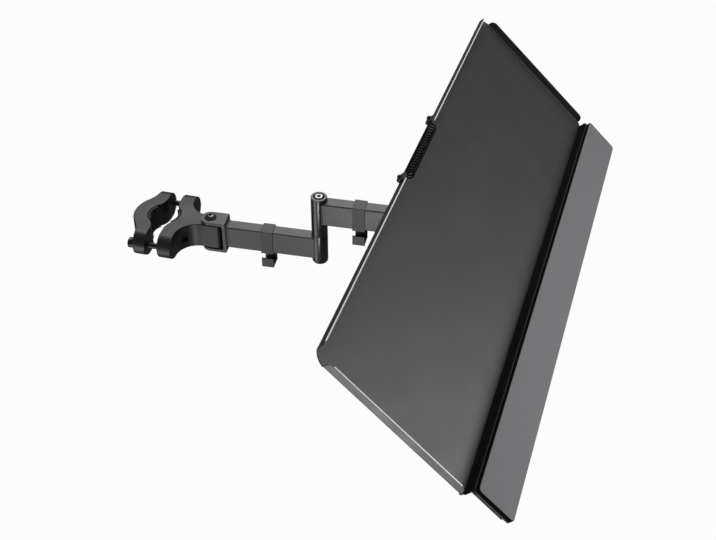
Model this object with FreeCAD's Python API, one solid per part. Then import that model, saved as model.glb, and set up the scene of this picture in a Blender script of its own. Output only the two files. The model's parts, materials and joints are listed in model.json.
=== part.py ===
"""Pole-mounted keyboard tray: pole clamp, two folding arms, a swivel and tilt head and a sheet steel tray.

Frame: millimetres, +Z up. The origin is the middle of the seat for the pole, +Z runs up the pole and +X
runs along the two straightened arms towards the tray. The tray has a frame of its own: X from its back
edge to its front edge, Y along its length and Z up from its top face.
"""

import FreeCAD, Part
import math
import os

# Pole clamp
pole_diameter = 35.0
liner_thickness = 3.3
liner_height = 32.0
liner_half_angle = 44.0
jaw_height = 34.0
jaw_length = 112.0
jaw_back_wall = 18.0
outer_lug_offset = 6.5
outer_lug_thickness = 15.8
inner_lug_offset = 9.5
inner_lug_thickness = 17.8
jaw_mouth_radius = 22.0
jaw_shoulder_radius = 36.0
jaw_edge_radius = 1.2
clamp_bolt_spacing = 92.0
clamp_bolt_diameter = 8.0
clamp_bolt_head_diameter = 13.0
clamp_bolt_head_chamfer = 0.8
clamp_bolt_socket = 6.0
clamp_bolt_hole = 9.0
spot_face_diameter = 14.6
nut_across_flats = 13.0
nut_height = 6.5
nut_pocket_depth = 7.0
tail_width = 22.6
tail_end_reach = 15.5
tail_corner_radius = 7.0
tail_fillet_radius = 26.0
wall_pocket_width = 8.0
wall_pocket_height = 14.0
wall_pocket_depth = 5.0
wall_pocket_angle_deg = 41.0

clamp_yaw_deg = -2.5

# First joint
pivot_reach = 62.0
pivot_bolt_diameter = 8.0
pivot_head_diameter = 15.0
pivot_head_height = 4.6
pivot_socket = 5.0
pivot_bush_wall = 2.0
pivot_washer_diameter = 21.0
pivot_washer_thickness = 1.0
clevis_thickness = 4.0
clevis_width = 24.0
clevis_web_offset = 17.5
clevis_inner_radius = 2.0
clevis_outer_radius = 1.5

# Arms
arm_length = 140.0
tube_width = 17.0
tube_height = 31.5
tube_wall = 1.5
tube_corner_radius = 2.0
arm_rise = 53.0

# Cable clips
clip_length = 15.3
clip_wall = 1.0
clip_start_on_arm_1 = 66.2
clip_start_on_arm_2 = 42.9
clip_hook_wall = 1.6
clip_lip_height = 13.3
clip_mouth = 8.0

# Middle joint
barrel_diameter = 20.0
barrel_bore = 15.0
lower_barrel_below_arm = 23.5
lower_barrel_above_arm = 19.0
upper_barrel_above_arm = 19.0
barrel_foot_radius = 3.0
top_bush_flange = 2.5
top_bush_rim_radius = 0.8
top_bush_well_diameter = 14.0
top_bush_well_depth = 5.0
seam_bush_flange = 1.0
bush_sleeve_length = 16.0
pin_diameter = 8.0
pin_head_diameter = 10.6
pin_head_height = 4.2
pin_head_chamfer = 0.6
pin_socket = 4.0
pin_washer_thickness = 1.2
pin_washer_diameter = 13.4
pin_depth_in_lower_barrel = 34.0

# Swivel at the end of the second arm
swivel_barrel_diameter = 22.0
swivel_barrel_below_arm = 20.5
swivel_barrel_above_arm = 19.5
swivel_bush_flange = 1.5
swivel_post_diameter = 10.0
swivel_washer_diameter = 20.0
swivel_washer_thickness = 1.5
swivel_screw_diameter = 6.0
swivel_screw_length = 14.0
swivel_screw_head_diameter = 10.5
swivel_screw_head_height = 3.3
swivel_screw_socket = 4.0

# Tilt head
tilt_axis_above_arm = 40.0
yoke_thickness = 3.0
yoke_width = 24.0
yoke_gap = 42.0
yoke_bend_radius = 2.0
friction_washer_thickness = 1.4
friction_washer_diameter = 20.0
tilt_bolt_diameter = 8.0
tilt_bolt_across_flats = 13.0
tilt_bolt_head_height = 5.3
tilt_nut_height = 8.0
bracket_thickness = 3.0
bracket_width = 22.0
bracket_bend_radius = 2.0
bracket_plate_length = 120.0
bracket_plate_depth = 75.0
bracket_plate_corner_radius = 8.0
bracket_plate_thickness = 3.0
bracket_off_middle = 2.6
stud_spacing_along = 96.0
stud_spacing_across = 53.0
stud_diameter = 5.0
stud_nut_across_flats = 8.0
stud_nut_height = 4.7
stud_tip = 1.5

# Pose of the tray in the photograph
tray_yaw_deg = -5.5
tray_tilt_deg = 43.5

# Tray sheet
tray_length = 711.0
panel_depth = 209.5
sheet_thickness = 1.5
flange_height = 9.5
sheet_bend_radius = 1.0
tilt_axis_from_back = 58.7
tilt_axis_below_panel = 22.7
back_corner_radius = 18.0
front_corner_radius = 4.0
back_flange_inset = 14.0
side_flange_start = 14.0
side_flange_end = 204.0
back_flange_end_radius = 5.0
side_flange_end_radius = 7.5
ledge_length = 703.0
ledge_width = 45.0

# Palm rest
rest_end_inset = 0.5
rest_width = 52.5
rest_setback = 2.5
rest_corner_radius = 5.0
rest_board_thickness = 2.0
rest_pad_thickness = 5.5
rest_pad_edge_radius = 1.4
rest_pad_foot_radius = 0.5
rest_screw_pitch = 120.0
rest_screw_count = 6
rest_screw_diameter = 3.5
rest_screw_head_diameter = 7.0
rest_screw_head_height = 2.0
rest_screw_head_edge = 0.9

# Cable keeper spring in the notch of the back flange
notch_length = 117.0
spring_diameter = 12.0
spring_wire = 1.8
spring_pitch = 5.8
spring_turns = 18
spring_setback = 9.4
spring_off_middle = 6.5
spring_tail_bend = 2.5
spring_tail_straight = 2.3
spring_tail_grip = 3.2
anchor_length = 11.0
anchor_thickness = 4.6
anchor_height = 9.6
anchor_corner_radius = 1.5
keeper_screw_diameter = 3.0
keeper_screw_head_diameter = 6.0
keeper_screw_head_height = 3.0
keeper_screw_socket = 2.0
keeper_screw_offset = 7.5

# Share of a button head's height that is its straight rim
button_rim_share = 0.2

# Clearances
running_clearance = 0.05
seat_gap = 0.05
loose_clearance = 0.3
pocket_clearance = 0.1

# How far a cutting tool passes the face it opens, and how near a face an edge counts as on it
cut_margin = 1.0
on_face = 0.01

# Values worked out from the sizes above
pole_radius = pole_diameter / 2
liner_back_radius = pole_radius + liner_thickness
jaw_seat_radius = liner_back_radius + seat_gap
half_jaw = jaw_height / 2
outer_lug_face = -outer_lug_offset - outer_lug_thickness
inner_lug_face = inner_lug_offset + inner_lug_thickness
clamp_bolt_y = clamp_bolt_spacing / 2
rest_length = ledge_length - 2 * rest_end_inset
clevis_gap = jaw_height + 2 * (pivot_washer_thickness + 2 * seat_gap)
clevis_web_face = clevis_web_offset + clevis_thickness
clevis_ear_face = clevis_gap / 2 + clevis_thickness
barrel_x = arm_length
swivel_x = 2 * arm_length
seam_z = lower_barrel_above_arm
upper_barrel_bottom = seam_z + seat_gap + seam_bush_flange
upper_barrel_top = arm_rise + upper_barrel_above_arm
barrel_cap_z = upper_barrel_top + top_bush_flange
pin_seat_z = barrel_cap_z - top_bush_well_depth
bush_diameter = barrel_bore - 2 * running_clearance
swivel_barrel_bottom = arm_rise - swivel_barrel_below_arm
swivel_barrel_top = arm_rise + swivel_barrel_above_arm
yoke_base_z = swivel_barrel_top + swivel_bush_flange + seat_gap
swivel_foot_z = swivel_barrel_bottom - swivel_bush_flange - seat_gap
tilt_z = arm_rise + tilt_axis_above_arm
yoke_web_offset = tilt_z - yoke_base_z - yoke_thickness
bracket_gap = yoke_gap - 2 * (bracket_thickness + friction_washer_thickness + 2 * seat_gap)
bracket_web_offset = tilt_axis_below_panel - sheet_thickness - bracket_plate_thickness - bracket_thickness
plate_underside = -sheet_thickness - bracket_plate_thickness
ledge_top = flange_height
bend_reach = sheet_bend_radius + sheet_thickness
front_bend_x = panel_depth - sheet_bend_radius
ledge_bend_z = ledge_top - bend_reach
rest_back = panel_depth + rest_setback
rest_middle = rest_back + rest_width / 2
rest_board_bottom = ledge_top + seat_gap
rest_pad_bottom = rest_board_bottom + rest_board_thickness
spring_radius = (spring_diameter - spring_wire) / 2
spring_x = spring_setback - spring_diameter / 2
spring_z = loose_clearance + spring_diameter / 2
spring_half_length = spring_pitch * spring_turns / 2
spring_rise_angle = math.atan2(spring_pitch, 2 * math.pi * spring_radius)
spring_half_reach = spring_half_length + spring_tail_bend + spring_tail_straight
keeper_screw_z = anchor_height / 2

X_AXIS = FreeCAD.Vector(1, 0, 0)
Y_AXIS = FreeCAD.Vector(0, 1, 0)
Z_AXIS = FreeCAD.Vector(0, 0, 1)
ORIGIN = FreeCAD.Vector(0, 0, 0)


def vec(x, y, z=0.0):
    return FreeCAD.Vector(x, y, z)


def box(x, y, z):
    """A box from three (low, high) pairs."""
    return Part.makeBox(x[1] - x[0], y[1] - y[0], z[1] - z[0], vec(x[0], y[0], z[0]))


def rod(diameter, start, direction, length):
    return Part.makeCylinder(diameter / 2, length, start, direction)


def ring(outer, inner, start, direction, length):
    return rod(outer, start, direction, length).cut(rod(inner, start, direction, length))


def line(a, b):
    return Part.LineSegment(a, b).toShape()


def arc(a, middle, b):
    return Part.Arc(a, middle, b).toShape()


def arc_about(centre, radius, start_deg, end_deg, normal="z"):
    """An arc about a centre in the XY plane, or in the XZ plane for a profile that runs along Y."""
    def at(angle):
        c = radius * math.cos(math.radians(angle))
        s = radius * math.sin(math.radians(angle))
        return centre + (vec(c, s) if normal == "z" else vec(c, 0, s))

    return arc(at(start_deg), at((start_deg + end_deg) / 2), at(end_deg))


def face_of(edges):
    return Part.Face(Part.Wire(Part.__sortEdges__(edges)))


def hexagon(across_flats, start, direction, length):
    """A hexagonal prism whose flats lie across the direction's first perpendicular."""
    radius = across_flats / math.sqrt(3)
    corners = [
        vec(radius * math.cos(math.radians(60 * k)), radius * math.sin(math.radians(60 * k)))
        for k in range(7)
    ]
    prism = Part.Face(Part.makePolygon(corners)).extrude(vec(0, 0, length))
    prism.Placement = FreeCAD.Placement(start, FreeCAD.Rotation(Z_AXIS, direction))
    return prism


def runs_along(edge, axis):
    return abs(edge.tangentAt(edge.FirstParameter).dot(axis)) > math.cos(math.radians(1))


def rounded_block(x, y, z, radius):
    """A box whose four upright edges are rounded."""
    block = box(x, y, z)
    return block.makeFillet(radius, [e for e in block.Edges if runs_along(e, Z_AXIS)])


def mirrored(shape, normal):
    return shape.mirror(ORIGIN, normal)


def export(name, *solids):
    """Write the solids of one node, each one separate."""
    whole = [s for shape in solids for s in shape.Solids]
    shape = whole[0] if len(whole) == 1 else Part.makeCompound(whole)
    shape.exportStep(f"parts/{name}.step")
    print(name, len(whole), round(shape.Volume, 1), shape.isValid())


# Placing the pieces
def on_clamp(shape):
    """Turn a piece of the clamp about the pole to its yaw in the photograph."""
    placed = shape.copy()
    placed.rotate(ORIGIN, Z_AXIS, clamp_yaw_deg)
    return placed


def on_arms(shape):
    """Carry a piece from the frame of the arms, whose origin is the first pivot."""
    yaw = math.radians(clamp_yaw_deg)
    placed = shape.copy()
    placed.translate(vec(math.cos(yaw), math.sin(yaw)) * pivot_reach)
    return placed


def on_head(shape):
    """Turn a piece of the head about the swivel post to the yaw of the photograph."""
    placed = shape.copy()
    placed.rotate(vec(swivel_x, 0), Z_AXIS, tray_yaw_deg)
    return on_arms(placed)


def on_tray(shape):
    """Carry a piece from the tray's own frame to its place over the tilt bolt."""
    placed = shape.copy()
    placed.translate(vec(-tilt_axis_from_back, -bracket_off_middle, tilt_axis_below_panel))
    placed.rotate(ORIGIN, Y_AXIS, tray_tilt_deg)
    placed.translate(vec(swivel_x, 0, tilt_z))
    return on_head(placed)


# Pole clamp
def jaw_ends():
    """The envelope that rounds the lugs of a jaw over the clamp bolts."""
    middle = jaw_length / 2 - half_jaw
    reach = pivot_reach + tail_width
    body = box((-reach, reach), (-middle, middle), (-half_jaw, half_jaw))
    for side in (-1, 1):
        body = body.fuse(rod(jaw_height, vec(-reach, side * middle), X_AXIS, 2 * reach))
    return body


def mouth_edges(lug_offset):
    """The gripping side of the jaw that lies at +X: lug faces, rounded shoulders and the seat arc."""
    shoulder = vec(lug_offset + jaw_mouth_radius, 0)
    shoulder.y = math.sqrt((jaw_seat_radius + jaw_mouth_radius) ** 2 - shoulder.x**2)
    seat_end = math.degrees(math.atan2(shoulder.y, shoulder.x))
    edges = [arc_about(ORIGIN, jaw_seat_radius, -seat_end, seat_end)]
    for side in (-1, 1):
        centre = vec(shoulder.x, side * shoulder.y)
        edges.append(arc_about(centre, jaw_mouth_radius, side * 180, side * (180 + seat_end)))
        edges.append(line(vec(lug_offset, centre.y), vec(lug_offset, side * jaw_length / 2)))
    return edges


def soften(jaw):
    """Round the outline of the flat top and bottom of a casting."""
    def flat_outline(edge):
        box_ = edge.BoundBox
        level = abs(abs(box_.ZMin) - half_jaw) < on_face and box_.ZLength < on_face
        return level and edge.Length > 2 * jaw_edge_radius

    return jaw.makeFillet(jaw_edge_radius, [e for e in jaw.Edges if flat_outline(e)])


def outer_jaw():
    """The loose jaw, a band with a seat for the liner and a lug at each end."""
    back_radius = jaw_seat_radius + jaw_back_wall
    lug = -outer_lug_face
    blend = vec(lug + jaw_shoulder_radius, 0)
    blend.y = math.sqrt((back_radius + jaw_shoulder_radius) ** 2 - blend.x**2)
    turn = math.degrees(math.atan2(blend.y, blend.x))
    edges = mouth_edges(outer_lug_offset)
    edges.append(arc_about(ORIGIN, back_radius, -turn, turn))
    for side in (-1, 1):
        centre = vec(blend.x, side * blend.y)
        end = side * jaw_length / 2
        edges.append(arc_about(centre, jaw_shoulder_radius, side * 180, side * (180 + turn)))
        edges.append(line(vec(lug, centre.y), vec(lug, end)))
        edges.append(line(vec(lug, end), vec(outer_lug_offset, end)))
    plan = face_of(edges)
    plan.translate(vec(0, 0, -half_jaw))
    jaw = plan.extrude(vec(0, 0, jaw_height)).common(jaw_ends())
    jaw = soften(mirrored(jaw, X_AXIS))
    for side in (-1, 1):
        seat = vec(outer_lug_face, side * clamp_bolt_y)
        jaw = jaw.cut(rod(clamp_bolt_hole, seat, X_AXIS, jaw_height))
        jaw = jaw.cut(rod(spot_face_diameter, seat, -X_AXIS, jaw_back_wall))
    return on_clamp(jaw)


def inner_jaw():
    """The fixed jaw: lugs with nut pockets, and a tail that is the knuckle of the first joint."""
    half_tail = tail_width / 2
    tail_end = pivot_reach + tail_end_reach
    corner_x = tail_end - tail_corner_radius
    corner_y = half_tail - tail_corner_radius
    edges = mouth_edges(inner_lug_offset)
    edges.append(line(vec(tail_end, -corner_y), vec(tail_end, corner_y)))
    for side in (-1, 1):
        end = side * jaw_length / 2
        centre = vec(inner_lug_face + tail_fillet_radius, side * (half_tail + tail_fillet_radius))
        edges.append(arc_about(centre, tail_fillet_radius, side * 180, side * 270))
        edges.append(line(vec(inner_lug_face, centre.y), vec(inner_lug_face, end)))
        edges.append(line(vec(inner_lug_face, end), vec(inner_lug_offset, end)))
        edges.append(line(vec(centre.x, side * half_tail), vec(corner_x, side * half_tail)))
        edges.append(arc_about(vec(corner_x, side * corner_y), tail_corner_radius, 0, side * 90))
    plan = face_of(edges)
    plan.translate(vec(0, 0, -half_jaw))
    jaw = soften(plan.extrude(vec(0, 0, jaw_height)).common(jaw_ends()))
    pocket_start = inner_lug_face - nut_pocket_depth
    pocket_width = nut_across_flats + 2 * pocket_clearance
    for side in (-1, 1):
        bolt = vec(0, side * clamp_bolt_y)
        jaw = jaw.cut(rod(clamp_bolt_hole, bolt, X_AXIS, inner_lug_face + cut_margin))
        jaw = jaw.cut(hexagon(pocket_width, bolt + vec(pocket_start, 0), X_AXIS, tail_fillet_radius))
        jaw = jaw.cut(wall_pocket(side))
    bush_hole = pivot_bolt_diameter + 2 * (2 * running_clearance + pivot_bush_wall)
    return on_clamp(jaw.cut(rod(bush_hole, vec(pivot_reach, 0, -half_jaw), Z_AXIS, jaw_height)))


def wall_pocket(side):
    """The cored pocket in the curved side wall of the inner jaw."""
    centre = vec(inner_lug_face + tail_fillet_radius, tail_width / 2 + tail_fillet_radius)
    half_width = wall_pocket_width / 2
    half_height = wall_pocket_height / 2
    reach = tail_fillet_radius + wall_pocket_depth
    pocket = box((0, reach), (-half_width, half_width), (-half_height, half_height))
    pocket.rotate(ORIGIN, Z_AXIS, 180 + wall_pocket_angle_deg)
    pocket.translate(centre)
    return pocket if side > 0 else mirrored(pocket, Y_AXIS)


def jaw_liner(middle_deg):
    """A rubber liner: a segment of a ring between the pole and the seat of a jaw."""
    start = middle_deg - liner_half_angle
    end = middle_deg + liner_half_angle

    def corner(radius, angle):
        return vec(radius * math.cos(math.radians(angle)), radius * math.sin(math.radians(angle)))

    edges = [
        arc_about(ORIGIN, pole_radius, start, end),
        arc_about(ORIGIN, liner_back_radius, start, end),
        line(corner(pole_radius, start), corner(liner_back_radius, start)),
        line(corner(pole_radius, end), corner(liner_back_radius, end)),
    ]
    plan = face_of(edges)
    plan.translate(vec(0, 0, -liner_height / 2))
    return on_clamp(plan.extrude(vec(0, 0, liner_height)))


def clamp_bolt(side):
    """A socket head cap screw that reaches from the outer lug to the face of its nut."""
    seat = outer_lug_face - seat_gap
    head_height = clamp_bolt_diameter
    tip = inner_lug_face - pocket_clearance
    bolt = rod(clamp_bolt_head_diameter, vec(seat, side * clamp_bolt_y), -X_AXIS, head_height)
    bolt = bolt.makeChamfer(
        clamp_bolt_head_chamfer, [e for e in bolt.Edges if e.BoundBox.XMax < seat - head_height / 2]
    )
    bolt = bolt.fuse(rod(clamp_bolt_diameter, vec(seat, side * clamp_bolt_y), X_AXIS, tip - seat))
    socket = vec(seat - head_height, side * clamp_bolt_y)
    bolt = bolt.cut(hexagon(clamp_bolt_socket, socket, X_AXIS, head_height / 2))
    return on_clamp(bolt.removeSplitter())


def clamp_nut(side):
    start = vec(inner_lug_face - pocket_clearance - nut_height, side * clamp_bolt_y)
    bore = clamp_bolt_diameter + 2 * running_clearance
    nut = hexagon(nut_across_flats, start, X_AXIS, nut_height)
    return on_clamp(nut.cut(rod(bore, start, X_AXIS, nut_height)))


# Brackets
def u_bracket(gap, thickness, width, web_offset, inner_radius, outer_radius, hole):
    """A bracket shaped as a U: two ears round a pivot on the Z axis and a web at +X."""
    outer = gap / 2 + thickness
    web_face = web_offset + thickness
    tip = -width / 2

    def outline(half, far, bend):
        edges = [line(vec(tip, 0, -half), vec(tip, 0, half))]
        for side in (-1, 1):
            centre = vec(far - bend, 0, side * (half - bend))
            edges.append(line(vec(tip, 0, side * half), vec(centre.x, 0, side * half)))
            edges.append(arc_about(centre, bend, 0, side * 90, "y"))
        edges.append(line(vec(far, 0, bend - half), vec(far, 0, half - bend)))
        return face_of(edges)

    depth = vec(0, width, 0)
    solid = outline(outer, web_face, outer_radius).extrude(depth)
    solid = solid.cut(outline(gap / 2, web_offset, inner_radius).extrude(depth))
    solid.translate(vec(0, -width / 2))
    plan = box((0, web_face), (-width / 2, width / 2), (-outer, outer))
    plan = plan.fuse(rod(width, vec(0, 0, -outer), Z_AXIS, 2 * outer))
    solid = solid.common(plan)
    return solid.cut(rod(hole, vec(0, 0, -outer), Z_AXIS, 2 * outer))


def button_screw(diameter, length, head_diameter, head_height, socket):
    """A domed screw along Z: its seat is at the origin and its shank runs down."""
    dome = head_height * (1 - button_rim_share)
    crown = (head_diameter**2 / 4 + dome**2) / (2 * dome)
    sphere = Part.makeSphere(crown, vec(0, 0, head_height - crown))
    head = rod(head_diameter, ORIGIN, Z_AXIS, head_height).common(sphere)
    screw = head.fuse(rod(diameter, vec(0, 0, -length), Z_AXIS, length)).removeSplitter()
    return screw.cut(hexagon(socket, vec(0, 0, head_height / 2), Z_AXIS, head_height))


# First joint
def clevis_bracket():
    hole = pivot_bolt_diameter + 2 * running_clearance
    bracket = u_bracket(
        clevis_gap,
        clevis_thickness,
        clevis_width,
        clevis_web_offset,
        clevis_inner_radius,
        clevis_outer_radius,
        hole,
    )
    return on_arms(bracket)


def pivot_bolt():
    """The bolt of the first joint, threaded into the lower ear and flush with it."""
    bolt = button_screw(
        pivot_bolt_diameter,
        2 * clevis_ear_face,
        pivot_head_diameter,
        pivot_head_height,
        pivot_socket,
    )
    bolt.translate(vec(0, 0, clevis_ear_face))
    return on_arms(bolt)


def pivot_bush():
    bore = pivot_bolt_diameter + 2 * running_clearance
    start = vec(pivot_reach, 0, -half_jaw)
    return on_clamp(ring(bore + 2 * pivot_bush_wall, bore, start, Z_AXIS, jaw_height))


def pivot_washer(side):
    low = half_jaw + seat_gap
    start = vec(0, 0, low if side > 0 else -low - pivot_washer_thickness)
    bore = pivot_bolt_diameter + 2 * running_clearance
    return on_arms(ring(pivot_washer_diameter, bore, start, Z_AXIS, pivot_washer_thickness))


# Arms
def tube_section(x, z, inset):
    """A length of the rectangular tube's outline, drawn in by an inset."""
    half_width = tube_width / 2 - inset
    half_height = tube_height / 2 - inset
    radius = max(tube_corner_radius - inset, tube_corner_radius / 4)
    bar = box(x, (-half_width, half_width), (z - half_height, z + half_height))
    return bar.makeFillet(radius, [e for e in bar.Edges if runs_along(e, X_AXIS)])


def arm_tube(x, z, barrels):
    """A rectangular steel tube whose ends are coped round the barrels it is welded to."""
    tube = tube_section(x, z, 0).cut(tube_section(x, z, tube_wall))
    for barrel in barrels:
        tube = tube.cut(barrel)
    return on_arms(tube)


def arm_1_tube():
    cope = barrel_diameter + 2 * seat_gap
    barrel = rod(cope, vec(barrel_x, 0, -tube_height), Z_AXIS, 2 * tube_height)
    return arm_tube((clevis_web_face, barrel_x), 0, [barrel])


def arm_2_tube():
    low = arm_rise - tube_height
    barrels = [
        rod(barrel_diameter + 2 * seat_gap, vec(barrel_x, 0, low), Z_AXIS, 2 * tube_height),
        rod(swivel_barrel_diameter + 2 * seat_gap, vec(swivel_x, 0, low), Z_AXIS, 2 * tube_height),
    ]
    return arm_tube((barrel_x, swivel_x), arm_rise, barrels)


def cable_clip(start, z):
    """A plastic sleeve round the tube with a channel under it, open at the front over a lip."""
    x = (start, start + clip_length)
    half_width = tube_width / 2 + seat_gap
    half_height = tube_height / 2 + seat_gap
    outer_width = half_width + clip_wall
    under_sleeve = z - half_height - clip_wall
    lip_top = under_sleeve - clip_mouth
    foot = lip_top - clip_lip_height
    top = z + half_height + clip_wall
    sleeve = box(x, (-outer_width, outer_width), (under_sleeve, top))
    sleeve = sleeve.cut(box(x, (-half_width, half_width), (z - half_height, z + half_height)))
    back = box(x, (outer_width - clip_hook_wall, outer_width), (foot, z - half_height))
    floor = box(x, (-outer_width, outer_width), (foot, foot + clip_hook_wall))
    lip = box(x, (-outer_width, clip_hook_wall - outer_width), (foot, lip_top))
    back = back.cut(box(x, (-half_width, half_width), (z - half_height, z)))
    clip = sleeve.fuse([back, floor, lip]).removeSplitter()

    def outside_corner(edge):
        middle = edge.CenterOfMass
        at_side = abs(abs(middle.y) - outer_width) < on_face
        at_end = min(abs(middle.z - foot), abs(middle.z - top)) < on_face
        return runs_along(edge, X_AXIS) and at_side and at_end

    return on_arms(clip.makeFillet(clip_wall / 2, [e for e in clip.Edges if outside_corner(e)]))


# Middle joint
def lower_barrel():
    """Turned bar at the end of the first arm, with a rounded foot and a threaded hole for the pin."""
    length = lower_barrel_below_arm + lower_barrel_above_arm
    barrel = rod(barrel_diameter, vec(barrel_x, 0, -lower_barrel_below_arm), Z_AXIS, length)
    foot = [e for e in barrel.Edges if e.BoundBox.ZMax < -lower_barrel_below_arm + on_face]
    barrel = barrel.makeFillet(barrel_foot_radius, foot)
    hole = pin_diameter + 2 * running_clearance
    depth = pin_depth_in_lower_barrel + seat_gap
    return on_arms(barrel.cut(rod(hole, vec(barrel_x, 0, seam_z - depth), Z_AXIS, depth)))


def upper_barrel():
    start = vec(barrel_x, 0, upper_barrel_bottom)
    length = upper_barrel_top - upper_barrel_bottom
    return on_arms(ring(barrel_diameter, barrel_bore, start, Z_AXIS, length))


def barrel_seam_bush():
    """The flanged bush whose flange is the dark ring at the seam of the two barrels."""
    bore = pin_diameter + 2 * running_clearance
    flange = rod(barrel_diameter, vec(barrel_x, 0, seam_z + seat_gap), Z_AXIS, seam_bush_flange)
    sleeve = rod(bush_diameter, vec(barrel_x, 0, upper_barrel_bottom), Z_AXIS, bush_sleeve_length)
    whole = rod(bore, vec(barrel_x, 0, seam_z), Z_AXIS, bush_sleeve_length * 2)
    return on_arms(flange.fuse(sleeve).removeSplitter().cut(whole))


def barrel_top_bush():
    """The cap of the barrel: a thick flanged bush with a well for the head of the pin."""
    bore = pin_diameter + 2 * running_clearance
    sleeve_bottom = upper_barrel_top - bush_sleeve_length
    flange = rod(barrel_diameter, vec(barrel_x, 0, upper_barrel_top), Z_AXIS, top_bush_flange)
    rim = [e for e in flange.Edges if e.BoundBox.ZMin > barrel_cap_z - on_face]
    flange = flange.makeFillet(top_bush_rim_radius, rim)
    sleeve = rod(bush_diameter, vec(barrel_x, 0, sleeve_bottom), Z_AXIS, bush_sleeve_length)
    well = rod(top_bush_well_diameter, vec(barrel_x, 0, pin_seat_z), Z_AXIS, top_bush_well_depth)
    hole = rod(bore, vec(barrel_x, 0, sleeve_bottom), Z_AXIS, bush_sleeve_length + top_bush_flange)
    return on_arms(flange.fuse(sleeve).removeSplitter().cut(well).cut(hole))


def barrel_pin_washer():
    bore = pin_diameter + 2 * running_clearance
    start = vec(barrel_x, 0, pin_seat_z + seat_gap)
    return on_arms(ring(pin_washer_diameter, bore, start, Z_AXIS, pin_washer_thickness))


def barrel_pin():
    """The bright socket screw that both barrels turn on."""
    seat = pin_seat_z + pin_washer_thickness + 2 * seat_gap
    length = seat - seam_z + pin_depth_in_lower_barrel
    head = rod(pin_head_diameter, vec(barrel_x, 0, seat), Z_AXIS, pin_head_height)
    head = head.makeChamfer(pin_head_chamfer, [e for e in head.Edges if e.BoundBox.ZMin > seat + on_face])
    pin = head.fuse(rod(pin_diameter, vec(barrel_x, 0, seat), -Z_AXIS, length)).removeSplitter()
    socket = vec(barrel_x, 0, seat + pin_head_height / 2)
    return on_arms(pin.cut(hexagon(pin_socket, socket, Z_AXIS, pin_head_height)))


# Swivel
def swivel_barrel():
    start = vec(swivel_x, 0, swivel_barrel_bottom)
    length = swivel_barrel_top - swivel_barrel_bottom
    return on_arms(ring(swivel_barrel_diameter, barrel_bore, start, Z_AXIS, length))


def swivel_bush(end_z, outward):
    """A flanged bush pressed into one end of the swivel barrel."""
    bore = swivel_post_diameter + 2 * running_clearance
    end = vec(swivel_x, 0, end_z)
    flange = rod(swivel_barrel_diameter, end, outward, swivel_bush_flange)
    bush = flange.fuse(rod(bush_diameter, end, -outward, bush_sleeve_length)).removeSplitter()
    start = end - outward * bush_sleeve_length
    return on_arms(bush.cut(rod(bore, start, outward, bush_sleeve_length + swivel_bush_flange)))


def swivel_post():
    """The turned post under the yoke, threaded from below for the screw that holds it in."""
    top = yoke_base_z + yoke_thickness
    post = rod(swivel_post_diameter, vec(swivel_x, 0, swivel_foot_z), Z_AXIS, top - swivel_foot_z)
    hole = swivel_screw_diameter + 2 * running_clearance
    depth = swivel_screw_length - swivel_washer_thickness + seat_gap
    return on_head(post.cut(rod(hole, vec(swivel_x, 0, swivel_foot_z), Z_AXIS, depth)))


def swivel_washer():
    start = vec(swivel_x, 0, swivel_foot_z - swivel_washer_thickness)
    bore = swivel_screw_diameter + 2 * running_clearance
    return on_head(ring(swivel_washer_diameter, bore, start, Z_AXIS, swivel_washer_thickness))


def swivel_screw():
    screw = button_screw(
        swivel_screw_diameter,
        swivel_screw_length,
        swivel_screw_head_diameter,
        swivel_screw_head_height,
        swivel_screw_socket,
    )
    screw.rotate(ORIGIN, X_AXIS, 180)
    screw.translate(vec(swivel_x, 0, swivel_foot_z - swivel_washer_thickness))
    return on_head(screw)


# Tilt head
def tilt_yoke():
    """The yoke on the post: its web lies on the swivel and its ears hold the tilt bolt."""
    hole = tilt_bolt_diameter + 2 * running_clearance
    yoke = u_bracket(
        yoke_gap,
        yoke_thickness,
        yoke_width,
        yoke_web_offset,
        yoke_bend_radius,
        yoke_bend_radius + yoke_thickness,
        hole,
    )
    yoke.rotate(ORIGIN, Z_AXIS, 90)
    yoke.rotate(ORIGIN, X_AXIS, -90)
    yoke.translate(vec(swivel_x, 0, tilt_z))
    reach = yoke_web_offset + yoke_thickness
    post_hole = swivel_post_diameter + 2 * running_clearance
    yoke = yoke.cut(rod(post_hole, vec(swivel_x, 0, tilt_z), -Z_AXIS, reach))
    return on_head(yoke)


def tilt_bolt():
    """The hexagon bolt that the tray tilts on."""
    seat = yoke_gap / 2 + yoke_thickness
    tip = seat + tilt_nut_height + seat_gap
    axis_end = vec(swivel_x, -seat, tilt_z)
    head = hexagon(tilt_bolt_across_flats, axis_end, -Y_AXIS, tilt_bolt_head_height)
    return on_head(head.fuse(rod(tilt_bolt_diameter, axis_end, Y_AXIS, seat + tip)))


def tilt_nut():
    start = vec(swivel_x, yoke_gap / 2 + yoke_thickness, tilt_z)
    nut = hexagon(tilt_bolt_across_flats, start, Y_AXIS, tilt_nut_height)
    bore = tilt_bolt_diameter + 2 * running_clearance
    return on_head(nut.cut(rod(bore, start, Y_AXIS, tilt_nut_height)))


def friction_washer(side):
    low = yoke_gap / 2 - seat_gap - friction_washer_thickness
    start = vec(swivel_x, low if side > 0 else -low - friction_washer_thickness, tilt_z)
    bore = tilt_bolt_diameter + 2 * running_clearance
    return on_head(ring(friction_washer_diameter, bore, start, Y_AXIS, friction_washer_thickness))


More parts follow.
